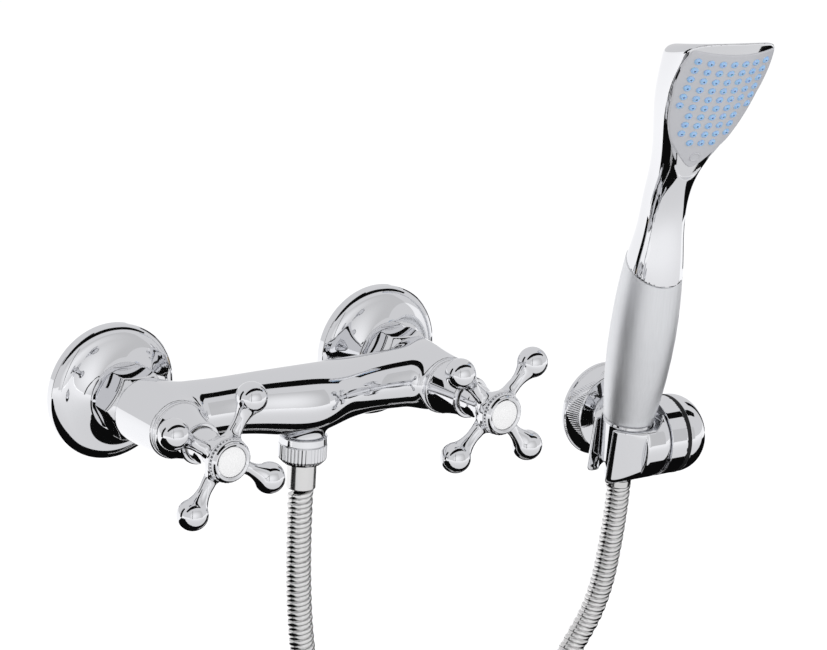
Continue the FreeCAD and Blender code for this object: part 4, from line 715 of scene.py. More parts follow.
@dataclass(frozen=True)
class Finish:
    """A surface finish: the record's slot, its colour and its even properties."""

    name: str
    slot: str
    colour: tuple[float, float, float]
    metallic: float = 0.0
    roughness: float = 0.4
    coat: float = 0.0
    even: tuple[tuple[str, float], ...] = ()
    cloud_scale: float = 260.0

    def material(self) -> bpy.types.Material:
        """Makes the material once and returns it after that.

        Returns:
            The material.
        """
        known = bpy.data.materials.get(self.name + "_surface")
        if known:
            return known
        graph = Graph(self.name + "_surface")
        graph.feed({"Metallic": self.metallic, "Coat Weight": self.coat, **dict(self.even)})
        self.detail(graph)
        return graph.material

    def tone(self, graph: Graph, share: Socket, dark: float, light: float) -> None:
        """Feeds the colour, taken by a share from dark times itself to light times itself."""
        graph.feed({"Base Color": graph.add(
            "ShaderNodeMix", {"data_type": "RGBA"},
            {0: share, 6: rgba(self.colour, dark), 7: rgba(self.colour, light)}, 2)})

    def rough(self, share: Socket, reach: float) -> Socket:
        """The roughness, from its value less a reach to its value plus the reach."""
        return self.roughness * (1.0 - reach) + share * (self.roughness * 2.0 * reach)

    def detail(self, graph: Graph) -> None:
        """What changes over the surface: a faint mottle in colour and roughness.

        Args:
            graph: the material's graph.
        """
        cloud = graph.noise(self.cloud_scale)
        self.tone(graph, cloud, 0.975, 1.015)
        graph.feed({"Roughness": self.rough(cloud, 0.2)})

    def dress(self, piece: bpy.types.Object) -> None:
        """Gives a piece this finish alone.

        Args:
            piece: a mesh object.
        """
        made = self.material()
        if not piece.material_slots:
            piece.data.materials.append(made)
            return
        for slot in piece.material_slots:
            slot.link = "OBJECT"
            slot.material = made


@dataclass(frozen=True)
class PolishedChrome(Finish):
    """Mirror plating: hairline wipe marks, faint water spots and a slight waviness."""

    waviness: float = 0.0
    smear_scale: float = 38.0
    smear: float = 0.018
    spot_scale: float = 900.0
    spot: float = 0.035
    tone_scale: float = 22.0
    wave_scale: float = 55.0

    def detail(self, graph: Graph) -> None:
        """Roughness rises in smears and spots; the casting under it is slightly wavy.

        Args:
            graph: the material's graph.
        """
        smears = graph.noise(self.smear_scale, (1.0, 1.0, 3.0), 4.0).step(0.52, 0.74)
        spots = graph.noise(self.spot_scale, detail=1.0).step(0.66, 0.80)
        graph.feed({"Roughness": self.roughness + smears * self.smear + spots * self.spot})
        self.tone(graph, graph.noise(self.tone_scale), 0.985, 1.0)
        if self.waviness:
            graph.bump(graph.noise(self.wave_scale, detail=1.0), self.waviness)


@dataclass(frozen=True)
class SatinChrome(Finish):
    """Fine blasted plating with a soft sheen and very fine lengthwise brushing."""

    grain_scale: float = 900.0
    grain_depth: float = 0.00002
    slow_scale: float = 30.0

    def detail(self, graph: Graph) -> None:
        """Grain along the grip in bump, and slow changes in roughness.

        Args:
            graph: the material's graph.
        """
        grain = graph.noise(self.grain_scale, (1.0, 1.0, 0.06), 2.0)
        slow = graph.noise(self.slow_scale)
        graph.feed({"Roughness": self.rough(slow, 0.14) + (grain - 0.5) * 0.10})
        self.tone(graph, grain, 0.93, 1.05)
        graph.bump(grain, self.grain_depth)


@dataclass(frozen=True)
class TurnedMetal(Finish):
    """Bare turned metal with fine machining lines."""

    line_scale: float = 1400.0

    def detail(self, graph: Graph) -> None:
        """Rings of tool marks in roughness and colour.

        Args:
            graph: the material's graph.
        """
        lines = graph.noise(self.line_scale, (0.15, 1.0, 0.15), 2.0)
        graph.feed({"Roughness": self.rough(lines, 0.2)})
        self.tone(graph, lines, 0.88, 1.06)


@dataclass(frozen=True)
class MouldedPlastic(Finish):
    """Moulded plastic or rubber with a fine sparked texture."""

    grain: float = 0.00002
    spark_scale: float = 2600.0
    slow_scale: float = 60.0

    def detail(self, graph: Graph) -> None:
        """A fine even texture in bump and roughness, and a slight mottle.

        Args:
            graph: the material's graph.
        """
        spark = graph.noise(self.spark_scale, detail=2.0)
        graph.feed({"Roughness": self.rough(spark, 0.15)})
        self.tone(graph, graph.noise(self.slow_scale), 0.97, 1.02)
        graph.bump(spark, self.grain)


CHROME = PolishedChrome("polished_chrome", "chrome", (0.84, 0.845, 0.865), 1.0, 0.035)
CAST_CHROME = PolishedChrome("cast_body_chrome", "chrome", (0.84, 0.845, 0.865), 1.0, 0.04,
                             waviness=0.000008)
SATIN = SatinChrome("satin_chrome", "satin_chrome", (0.86, 0.87, 0.89), 1.0, 0.46)
HOSE_STEEL = PolishedChrome("hose_steel", "hose_steel", (0.82, 0.815, 0.81), 1.0, 0.15)
BRASS = TurnedMetal("turned_brass", "brass", (0.72, 0.54, 0.27), 1.0, 0.28)
NICKEL = TurnedMetal("nickelled_brass", "brass", (0.62, 0.61, 0.58), 1.0, 0.26)
STEEL = TurnedMetal("plain_steel", "steel", (0.60, 0.61, 0.63), 1.0, 0.30)
GLAZE = Finish("white_glaze", "glazed_white", (0.87, 0.87, 0.87), 0.0, 0.15, 0.6)
CERAMIC = Finish("ground_ceramic", "ceramic", (0.84, 0.83, 0.80), 0.0, 0.35)
RUBBER = MouldedPlastic("black_rubber", "rubber", (0.008, 0.008, 0.009), 0.0, 0.55,
                        even=(("Specular IOR Level", 0.25),))
FIBRE = MouldedPlastic("fibre_washer", "fibre", (0.25, 0.10, 0.08), 0.0, 0.75, grain=0.00004)
INNER = MouldedPlastic("inner_plastic", "inner_plastic", (0.80, 0.80, 0.78), 0.0, 0.45)
STRAP = MouldedPlastic("strap_black", "black_strap", (0.03, 0.03, 0.03), 0.0, 0.6)
SPRAY_GREY = MouldedPlastic("spray_grey", "spray_grey", (0.52, 0.525, 0.55), 0.0, 0.38, 0.15)
NOZZLE = MouldedPlastic("nozzle_blue", "nozzle_blue", (0.32, 0.52, 0.78), 0.0, 0.30,
                        even=(("Subsurface Weight", 0.25), ("Subsurface Scale", 0.002)))
# Near-black blue for the nozzle mouths: painted shade for the dark inside of each nozzle's hole,
# not the plastic's own colour.
NOZZLE_HOLE_SHADE = MouldedPlastic("nozzle_hole_shade", "nozzle_blue", (0.03, 0.06, 0.13), 0.0, 0.6)


class Workshop:
    """Puts finished pieces on their bodies and keeps the tally."""

    def __init__(self) -> None:
        """Starts with nothing made."""
        self.made = 0

    def fit(self, piece: bpy.types.Object, body: str, finish: Finish, *nodes: str,
            ride: bool = True) -> bpy.types.Object:
        """Dresses a piece, puts it on its body and lets it stand for its nodes.

        Args:
            piece: the new object.
            body: the body that it moves with.
            finish: its finish.
            nodes: the CAD nodes that it replaces.
            ride: False for a piece that runs between bodies and rides on none.

        Returns:
            The piece.
        """
        finish.dress(piece)
        if ride:
            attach(piece, body)
        if nodes:
            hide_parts(*nodes)
        self.made += 1
        LOG.info("%s on %s: %d faces", piece.name, body, len(piece.data.polygons))
        return piece


# Sub-assemblies
@dataclass(frozen=True)
class WallFitting:
    """One inlet: flared rosette, hexagonal union nut and the connector behind them."""

    side: str
    x: float
    rosette_radius: float = 33.0
    rosette_front: float = 14.5
    collar_radius: float = 16.8
    nut_flats: float = 30.0
    nut_back: float = 14.8
    nut_length: float = 17.4
    nut_bore: float = 11.6
    chamfer: float = 1.4
    edge: float = 0.5

    def rosette(self, seat: Seat) -> Skin:
        """A straight lip, a hollow flare up to the collar, and the hollow back."""
        outer, front, collar = self.rosette_radius, self.rosette_front, self.collar_radius
        return lathe([
            (outer - 1.5, 0.02, 0.2), (outer - 0.25, 0.02, 0.3), (outer, 4.5, 0.5),
            (outer - 0.8, 5.6, 0.4), (outer - 4.6, 8.3, 1.6, 9.0),
            (collar + 0.9, front - 2.1, 1.1, -24.0), (collar, front - 1.4, 0.25),
            (collar, front - 0.15, 0.35), (13.3, front, 0.3), (13.3, front - 3.4, 0.2),
            (collar - 0.3, front - 3.4, 0.3), (outer - 2.3, 3.9, 0.3, 29.5),
            (outer - 1.5, 3.2, 0.2)], seat, 160)

    def union_nut(self, seat: Seat) -> Skin:
        """A hexagon whose radius is flats / 2 over the cosine of the angle from a flat's
        middle, met by a cone at each end, with eased edges.

        Args:
            seat: the inlet's frame.

        Returns:
            The nut's surface.
        """
        flat = self.nut_flats / 2.0
        back, front = self.nut_back, self.nut_back + self.nut_length

        def shape(x: Array, y: Array, z: Array) -> Array:
            """Distance: the six sides, the two chamfers and the bore together.

            Args:
                x, y, z: own coordinates in millimetres.

            Returns:
                The distance in millimetres.
            """
            radius = np.hypot(x, y)
            folded = np.mod(np.arctan2(y, x), math.pi / 3.0) - math.pi / 6.0
            sides = radius * np.cos(folded) - flat
            ends = np.maximum(back - z, z - front)
            cone = (radius - flat - 0.4 + ends + self.chamfer) * 0.72
            blank = meet(meet(sides, ends, self.edge), cone, self.edge)
            return carve(blank, radius - self.nut_bore, self.edge)

        return cast(shape, (-18.5, -18.5, back - 1.0), (18.5, 18.5, front + 1.0), 0.62, seat)

    def build(self, shop: Workshop) -> None:
        """Makes the rosette and the nut; the brass connector keeps its CAD form.

        Args:
            shop: takes the pieces.
        """
        seat = Seat((self.x, 0.0, 0.0), OUTWARD)
        shop.fit(self.rosette(seat).piece("rosette_flare_" + self.side), "mixer", CHROME,
                 "rosette_" + self.side)
        shop.fit(self.union_nut(seat).piece("union_hexagon_" + self.side), "mixer", CHROME,
                 "union_nut_" + self.side)


@dataclass(frozen=True)
class MixerBody:
    """The cast body: two tapered arms, a waisted bar that bows outwards, an outlet boss."""

    bar_rise: float = 1.2
    stations: tuple[float, ...] = (0.0, 9.46, 23.65, 43.0, 57.4, 75.0)
    bar_radius: tuple[float, ...] = (16.6, 16.22, 14.87, 13.9, 14.4, 15.0)
    bar_depth: tuple[float, ...] = (55.0, 53.95, 50.2, 47.5, 47.5, 47.5)
    fillet: float = 6.0
    boss_radius: float = 10.4
    boss_fillet: float = 2.2
    arm: Outline = (
        (0.0, 22.0), (11.2, 22.0, 0.3), (11.2, 33.0, 0.2), (15.1, 33.0, 0.5), (15.8, 34.2, 0.6),
        (15.7, 37.0, 1.0), (14.25, 63.7, 0.4), (13.6, 64.2, 0.2), (0.0, 64.2))

    def skin(self) -> Skin:
        """The blended union of arms, bar and boss.

        Returns:
            The casting's surface in the world frame.
        """
        across = tuple(-v for v in self.stations[:0:-1]) + self.stations
        radius, depth = (SmoothCurve(across, half[:0:-1] + half)
                         for half in (self.bar_radius, self.bar_depth))

        def shape(x: Array, y: Array, z: Array) -> Array:
            """Distance: bar round its bowed axis, arms turned about the inlets, boss.

            Args:
                x, y, z: own coordinates in millimetres.

            Returns:
                The distance in millimetres.
            """
            d = -y
            bar = np.hypot(d - depth(x), z - self.bar_rise) - radius(x)
            bar = meet(bar, np.abs(x) - INLET_X, 0.5)
            arms = turned_distance(self.arm, np.hypot(np.abs(x) - INLET_X, z), d)
            boss = meet(np.hypot(x, d + OUTLET[1]) - self.boss_radius,
                        np.maximum(OUTLET[2] - z, z), 0.6)
            return blend(blend(bar, arms, self.fillet), boss, self.boss_fillet)

        return cast(shape, (-93.0, -74.0, -19.0), (93.0, -20.0, 20.0), 0.66, WORLD)

    def build(self, shop: Workshop) -> None:
        """Makes the casting."""
        shop.fit(self.skin().piece("body_casting"), "mixer", CAST_CHROME, "mixer_body")


@dataclass(frozen=True)
class Handle:
    """A valve's outside: bonnet, cross handle, notched bezel and white button."""

    side: str
    x: float
    first_arm: float
    back: float = 85.6
    hub_length: float = 23.7
    cross_plane: float = 17.9
    ball_radius: float = 7.4
    ball_reach: float = 29.4
    neck: float = 3.3
    fillet: float = 3.0
    bonnet_back: float = 64.3
    bonnet_front: float = 85.2
    notches: int = 36
    notch_depth: float = 0.8
    dial_gap: float = 0.05

    def bonnet(self, seat: Seat) -> Skin:
        """A ring with a groove, then a long hollow taper to the handle."""
        back, front = self.bonnet_back, self.bonnet_front
        return lathe([
            (10.4, back, 0.2), (13.5, back, 0.3), (13.5, back + 1.6, 0.35),
            (12.9, back + 2.0, 0.25), (13.4, back + 2.6, 0.3), (13.25, back + 3.6, 0.4),
            (10.2, front - 1.0, 0.6, -60.0), (9.7, front, 0.25), (8.3, front, 0.2),
            (8.3, back + 5.0, 0.3)], seat, 112)

    def cross(self) -> Skin:
        """The hub and four arms as one casting in its own frame: each arm is turned about
        its own axis, the quarter turns are folded onto one, and fillets join arm to hub.

        Returns:
            The casting's surface.
        """
        join = self.ball_radius * math.sin(math.radians(45.0))
        hub = [(0.0, 0.0), (7.5, 0.0, 0.3), (8.2, 0.7, 0.5), (8.0, 6.0, 1.0),
               (10.6, 20.5, 0.8, -18.0), (10.6, self.hub_length, 0.35), (0.0, self.hub_length)]
        arm = [(0.0, 2.0), (4.9, 2.0), (4.9, 5.2, 0.2),
               (self.neck, 14.2, 1.5, -26.0), (join, self.ball_reach - join, 0.8, -15.0),
               (0.0, self.ball_reach + self.ball_radius, 0.0, self.ball_radius)]

        def shape(x: Array, y: Array, z: Array) -> Array:
            """Distance: hub, and the nearest arm after folding into one eighth.

            Args:
                x, y, z: own coordinates in millimetres.

            Returns:
                The distance in millimetres.
            """
            x, y = np.abs(x), np.abs(y)
            along, aside = np.maximum(x, y), np.minimum(x, y)
            arms = turned_distance(arm, np.hypot(aside, z - self.cross_plane), along)
            middle = turned_distance(hub, np.hypot(x, y), z)
            return blend(middle, arms, self.fillet)

        reach = self.ball_reach + self.ball_radius + 1.0
        return cast(shape, (-reach, -reach, -1.0), (reach, reach, 26.8), 0.5, WORLD)

    def bezel(self, seat: Seat) -> Skin:
        """A ring with fine milled notches round its rim and a stepped bevel inside."""
        low = self.hub_length + self.dial_gap
        return lathe([
            (7.36, low, 0.1), (10.2, low, 0.15), (10.35, low + 0.3, 0.15),
            (10.35, low + 1.7, 0.25), (9.6, low + 2.3, 0.3), (8.9, low + 3.45, 0.3),
            (8.4, low + 3.6, 0.15), (7.36, low + 3.1, 0.15)], seat, 432,
            Ripple(self.notches, self.notch_depth, low + 0.15, low + 1.75, 2.0))

    def button(self, seat: Seat) -> Skin:
        """A low crown with an eased rim."""
        low = self.hub_length + self.dial_gap
        return lathe([(0.0, low), (7.28, low, 0.1), (7.28, low + 2.75, 0.45),
                      (0.0, low + 3.6, 0.0, 29.8)], seat, 96)

    def build(self, shop: Workshop, casting: Skin) -> None:
        """Makes the bonnet, handle, bezel and button.

        Args:
            shop: takes the pieces.
            casting: the cross in its own frame.
        """
        body = "handle_" + self.side
        fixed = Seat((self.x, 0.0, 0.0), OUTWARD)
        seat = Seat((self.x, -self.back, 0.0), OUTWARD).turned("Z", self.first_arm)
        for skin, name, on, finish, node in (
                (self.bonnet(fixed), "bonnet_taper_", "mixer", CHROME, "bonnet_"),
                (casting.placed(seat), "cross_casting_", body, CHROME, "cross_handle_"),
                (self.bezel(seat), "milled_bezel_", body, CHROME, "bezel_ring_"),
                (self.button(seat), "glazed_button_", body, GLAZE, "index_button_")):
            shop.fit(skin.piece(name + self.side), on, finish, node + self.side)


@dataclass(frozen=True)
class Outlet:
    """The knurled hose nut and the hose's upper sleeve."""

    radius: float = 11.7
    gap: float = 0.25
    length: float = 13.6
    band: float = 3.4
    flutes: int = 40
    flute_depth: float = 0.42

    def build(self, shop: Workshop) -> None:
        """Makes the nut with a plain band over a fluted skirt, and the sleeve.

        Args:
            shop: takes the pieces.
        """
        seat = Seat(OUTLET, DOWNWARD)
        r, top = self.radius, self.gap
        step, bottom = top + self.band, top + self.length
        end = OUTLET[2] - HOSE_TOP
        nut = lathe([
            (9.0, top, 0.1), (r - 0.2, top, 0.35), (r, step, 0.3), (r - 0.5, step + 0.3, 0.15),
            (r - 0.1, step + 0.7, 0.2), (r - 0.1, bottom - 2.4, 0.5), (r - 2.3, bottom, 0.4),
            (7.2, bottom, 0.1), (7.2, bottom - 1.5, 0.1), (9.0, top + 1.5, 0.1)],
            seat, 480, Ripple(self.flutes, self.flute_depth, step + 0.8, bottom - 1.6))
        sleeve = lathe([(4.6, bottom - 3.0, 0.1), (7.1, bottom - 3.0, 0.1), (7.1, end - 0.3, 0.5),
                        (6.3, end, 0.25), (4.6, end, 0.1)], seat, 80)
        shop.fit(nut.piece("hose_nut_knurled"), "mixer", CHROME, "hose_nut")
        shop.fit(sleeve.piece("hose_sleeve_upper"), "mixer", HOSE_STEEL, "hose_ferrule")


@dataclass(frozen=True)
class Hose:
    """The metal hose: one spline from the outlet, round the put-away coil, up to the hand
    shower, with a rib at every turn of its steel strip."""

    radius: float = 6.25
    groove: float = 0.8
    pitch: float = 5.0
    columns: int = 20
    coil_centre: tuple[float, float] = (99.0, -235.0)
    coil_radius: float = 73.0
    coil_depth: float = 63.0
    coil_pitch: float = 13.5
    coil_turns: float = 2.5
    per_turn: int = 16
    cut_corner: float = 0.981
    share: tuple[float, ...] = (0.0, 0.04, 0.08, 0.16, 0.27, 0.38, 0.46, 0.50,
                                0.54, 0.58, 0.66, 0.77, 0.88, 0.95)
    rise: tuple[float, ...] = (0.0, 0.62, 0.86, 0.96, 1.0, 0.96, 0.86, 0.62,
                               0.02, 0.40, 0.50, 0.52, 0.50, 0.38)
    mixer_side: tuple[Place, ...] = (
        (0.0, -55.0, HOSE_TOP), (0.0, -55.0, -134.0), (26.0, -63.0, -175.0),
        (26.0, -63.0, -222.5))
    hand_side: tuple[Place, ...] = (
        (173.4, -29.25, -222.5), (173.8, -29.5, -198.0), (187.0, -31.5, -173.0),
        (200.5, -36.5, -144.0), (202.0, -42.5, -100.0), (200.3, -46.2, -68.0),
        (200.0, -49.2, -43.4))
    strap_flat: tuple[float, float] = (15.4, 3.0)
    strap_outer: float = 4.9
    strap_inner: float = 3.75
    strap_width: float = 8.0

    def route(self) -> Array:
        """The spline's control points in metres: the route's points, with the coil's between
        them. A coil point lies at the ring's radius, a little widened because the spline
        runs inside its control points, at equal angles, and comes nearer to the wall by
        one pitch a turn.

        Returns:
            An (n, 3) array.
        """
        steps = np.arange(int(self.coil_turns * self.per_turn) + 1) / self.per_turn
        angle = math.pi + 2.0 * math.pi * steps
        wide = self.coil_radius / self.cut_corner
        coil = np.stack([self.coil_centre[0] + wide * np.cos(angle),
                         -(self.coil_depth - self.coil_pitch * steps),
                         self.coil_centre[1] + wide * np.sin(angle)], 1)
        return np.concatenate([self.mixer_side, coil, self.hand_side]) * MM

    def line(self, name: str) -> Array:
        """Points along the spline, read from a curve object without a bevel.

        Args:
            name: the curve's name.

        Returns:
            An (n, 3) array in metres.
        """
        route = self.route()
        curve = bpy.data.curves.new(name, "CURVE")
        curve.dimensions = "3D"
        spline = curve.splines.new("NURBS")
        spline.points.add(len(route) - 1)
        spline.points.foreach_set("co", np.column_stack([route, np.ones(len(route))]).ravel())
        spline.order_u = 3
        spline.use_endpoint_u = True
        curve.resolution_u = 24
        holder = bpy.data.objects.new(name, curve)
        mesh = bpy.data.meshes.new_from_object(holder)
        points = np.empty(len(mesh.vertices) * 3)
        mesh.vertices.foreach_get("co", points)
        bpy.data.objects.remove(holder)
        bpy.data.curves.remove(curve)
        bpy.data.meshes.remove(mesh)
        return points.reshape(-1, 3)

    def skin(self, line: Array) -> Skin:
        """A wound strip: a raised land and a lower band with a crevice at either side, as
        a table of shares of the pitch says. Every column of vertices lies a share of the
        pitch further along than the one before, so the winding climbs one pitch a turn,
        and the last column joins the first one a whole rib later. The normal leans back by
        the radius's slope along the hose, and round it by that slope times the lead over
        the circumference.

        Args:
            line: points along the hose in metres.

        Returns:
            The capped ribbed tube.
        """
        length = np.concatenate([[0.0], np.cumsum(np.linalg.norm(np.diff(line, axis=0), axis=1))])
        pitch, rib, columns = self.pitch * MM, len(self.share), self.columns
        ribs = int(length[-1] / pitch) - 1
        station = np.append((np.arange(ribs)[:, None] + np.array(self.share)).ravel(), ribs) * pitch
        crest = np.append(np.tile(self.rise, ribs), 0.0)
        radius = (self.radius - self.groove + self.groove * crest) * MM
        rows = len(station)
        along = station[:, None] + np.arange(columns)[None, :] * pitch / columns
        steps = unit(np.gradient(line, axis=0))
        centre, ahead = (np.stack([np.interp(along, length, table[:, k]) for k in range(3)], -1)
                         for table in (line, steps))
        ahead = unit(ahead)
        side = unit(np.cross(ahead, np.array([0.0, 1.0, 0.0])))
        other = np.cross(ahead, side)
        angle = (np.arange(columns) * 2.0 * math.pi / columns)[None, :, None]
        spoke = side * np.cos(angle) + other * np.sin(angle)
        around = other * np.cos(angle) - side * np.sin(angle)
        slope = np.gradient(radius, station)[:, None, None]
        lead = pitch / (2.0 * math.pi * radius)[:, None, None]
        normal = unit(spoke - ahead * slope + around * slope * lead)
        tube = centre + spoke * radius[:, None, None]
        number = np.arange(rows * columns).reshape(rows, columns)
        last, first = number[:-rib, -1], number[rib:, 0]
        joining = np.stack([last[:-1], first[:-1], first[1:], last[1:]], 1)
        foot = np.concatenate([number[0], number[rib:0:-1, 0]])
        head = np.concatenate([number[-1], number[-2:-rib - 2:-1, -1]])
        caps = np.concatenate([fan(rows * columns, foot, False),
                               fan(rows * columns + 1, head, True)])
        quads = np.concatenate([grid_quads(rows, columns, False, False), joining])
        points = np.concatenate([tube.reshape(-1, 3), centre[0, :1], centre[-1, -1:]])
        normals = np.concatenate([normal.reshape(-1, 3), -ahead[0, :1], ahead[-1, -1:]])
        return Skin(points, quads, caps, normals)

    def tie(self) -> Skin:
        """The strap round the foot of the coil: a rounded rectangle's loop with a wall.

        Returns:
            The strap's surface.
        """
        centre = Seat((self.coil_centre[0], -46.1, self.coil_centre[1] - self.coil_radius), UPRIGHT)

        def shape(x: Array, y: Array, z: Array) -> Array:
            """Distance: an eased box band with an eased opening.

            Args:
                x, y, z: own coordinates in millimetres.

            Returns:
                The distance in millimetres.
            """
            y, z = (np.maximum(np.abs(v) - half, 0.0) for v, half in zip((y, z), self.strap_flat))
            band = np.maximum(np.hypot(y, z) - self.strap_outer, self.strap_inner - np.hypot(y, z))
            return meet(band, np.abs(x) - self.strap_width / 2.0, 0.4)

        return cast(shape, (-5.0, -21.5, -9.0), (5.0, 21.5, 9.0), 0.4, centre)

    def build(self, shop: Workshop) -> None:
        """Args:
            shop: takes the pieces.
        """
        line = self.line("hose_line")
        hose = self.skin(line).piece("ribbed_hose")
        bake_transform(hose)
        shop.fit(hose, "mixer", HOSE_STEEL, "hose_mixer_side", "hose_coil", "hose_handset_side",
                 ride=False)
        tie = shop.fit(self.tie().piece("coil_strap"), "mixer", STRAP, "hose_tie")


@dataclass(frozen=True)
class Bracket:
    """The wall bracket: ribbed cover, trumpet neck with its ring, black seal, end cap."""

    ring_left: float = 215.65
    ring_width: float = 9.95
    seal_width: float = 2.4
    ribs: int = 120
    rib_depth: float = 0.40
    fillet: float = 2.5
    cap_corner: float = 15.0
    cap_shoulder: float = 1.5
    cap_turn: float = 55.0

    def cover(self) -> Skin:
        """A lip, a sloping band of fine ribs, and a flat face round the neck."""
        return lathe([
            (21.8, 0.02, 0.1), (24.8, 0.02, 0.2), (25.0, 2.2, 0.35), (24.0, 2.5, 0.15),
            (23.9, 2.8, 0.15), (20.6, 9.4, 0.3), (20.0, 10.0, 0.3), (12.0, 10.0, 0.2),
            (12.0, 8.8, 0.1), (19.2, 8.8, 0.2), (21.8, 4.2, 0.2)], PLATE_SEAT, 720,
            Ripple(self.ribs, self.rib_depth, 3.0, 9.2, 1.2))

    def neck_and_ring(self) -> Skin:
        """A trumpet turned about the line out of the wall, blended into the ring that
        holds the cup's pivot.

        Returns:
            The surface of both in one.
        """
        neck = [(0.0, 9.0), (11.9, 9.0, 0.2), (11.9, 10.4, 0.2), (5.1, 25.8, 1.0, -14.5),
                (5.1, 34.0, 0.2), (0.0, 34.0)]
        half = self.ring_width / 2.0
        middle = self.ring_left + half - PLATE_SEAT.origin[0]

        def shape(x: Array, y: Array, z: Array) -> Array:
            """Distance: neck and ring with a fillet between them.

            Args:
                x, y, z: own coordinates in millimetres.

            Returns:
                The distance in millimetres.
            """
            stem = turned_distance(neck, np.hypot(x, y), z)
            ring = meet(np.hypot(y, z + PIVOT[1]) - BARREL_RADIUS,
                        np.abs(x - middle) - half, 0.3)
            return blend(stem, ring, self.fillet)

        return cast(shape, (-13.0, -21.5, 8.0), (13.0, 21.5, 69.5), 0.62, PLATE_SEAT)

    def cap(self) -> Skin:
        """A straight shoulder, a rounded corner and a flatter crown, tangent all through:
        the crown's centre lies on the line from the corner's centre to where they join.

        Returns:
            The cap's surface.
        """
        corner, shoulder, turn = self.cap_corner, self.cap_shoulder, math.radians(self.cap_turn)
        inset = BARREL_RADIUS - corner
        crown = corner + inset / math.cos(turn)
        return lathe([
            (0.0, 0.0), (BARREL_RADIUS, 0.0, 0.3), (BARREL_RADIUS, shoulder, 0.0),
            (inset + corner * math.cos(turn), shoulder + corner * math.sin(turn), 0.0, corner),
            (0.0, shoulder - inset * math.tan(turn) + crown, 0.0, crown)],
            self.end_seat(self.seal_width), 144)

    def seal(self) -> Skin:
        """The black ring between the bracket's ring and its end cap."""
        return lathe([(17.0, 0.05, 0.1), (20.25, 0.05, 0.5), (20.35, 1.2, 0.5),
                      (20.25, 2.35, 0.5), (17.0, 2.35, 0.1)], self.end_seat(0.0), 128)

    def end_seat(self, past: float) -> Seat:
        """The pivot's line, from a distance past the ring's right face."""
        return Seat((self.ring_left + self.ring_width + past, *PIVOT[1:]), RIGHTWARD)

    def build(self, shop: Workshop) -> None:
        """Makes the cover, the neck with its ring, the seal and the cap.

        Args:
            shop: takes the pieces.
        """
        shop.fit(self.cover().piece("ribbed_cover"), "mixer", CHROME, "plate_cover")
        shop.fit(self.neck_and_ring().piece("bracket_neck"), "mixer", CHROME, "bracket_arm")
        shop.fit(self.seal().piece("black_seal"), "mixer", RUBBER, "seal_ring")
        shop.fit(self.cap().piece("end_cap"), "mixer", CHROME, "dome_cap")


@dataclass(frozen=True)
class Holder:
    """The cup: the barrel's free end with a cone socket and a slot for the hose."""

    end_radius: float = 16.8
    rim_height: float = 12.0
    rim_radius: float = 16.9
    slot: float = 14.2
    right: float = 15.5
    ball: float = 24.4
    mouth: float = 13.2
    throat: float = 10.1
    edge: float = 0.9

    def skin(self) -> Skin:
        """Barrel, rounded end and ball in common, less the rim cut, socket and slot.

        Returns:
            The cup's surface.
        """
        slope = (self.mouth - self.throat) / (self.rim_height + BARREL_RADIUS + 2.0)

        def shape(x: Array, y: Array, z: Array) -> Array:
            """Distance in the cup's tilted frame, whose Z axis is the socket's.

            Args:
                x, y, z: own coordinates in millimetres.

            Returns:
                The distance in millimetres.
            """
            across = np.hypot(x, y)
            barrel = meet(np.hypot(y, z) - BARREL_RADIUS, x - self.right, 0.3)
            plan = np.minimum(across - self.end_radius, -x)
            ball = np.sqrt(x * x + y * y + z * z) - self.ball
            cup = meet(meet(barrel, plan, 2.0), ball, 1.6)
            for hollow in (np.maximum(across - self.rim_radius, self.rim_height - z),
                           across - self.mouth - (z - self.rim_height) * slope,
                           np.maximum(np.abs(y) - self.slot / 2.0, x)):
                cup = carve(cup, hollow, self.edge)
            return cup

        return cast(shape, (-18.0, -21.5, -21.5), (16.5, 21.5, 21.5), 0.5, CUP_SEAT)

    def build(self, shop: Workshop) -> None:
        """Makes the cup."""
        shop.fit(self.skin().piece("cup_casting"), "holder", CHROME, "holder_cup")


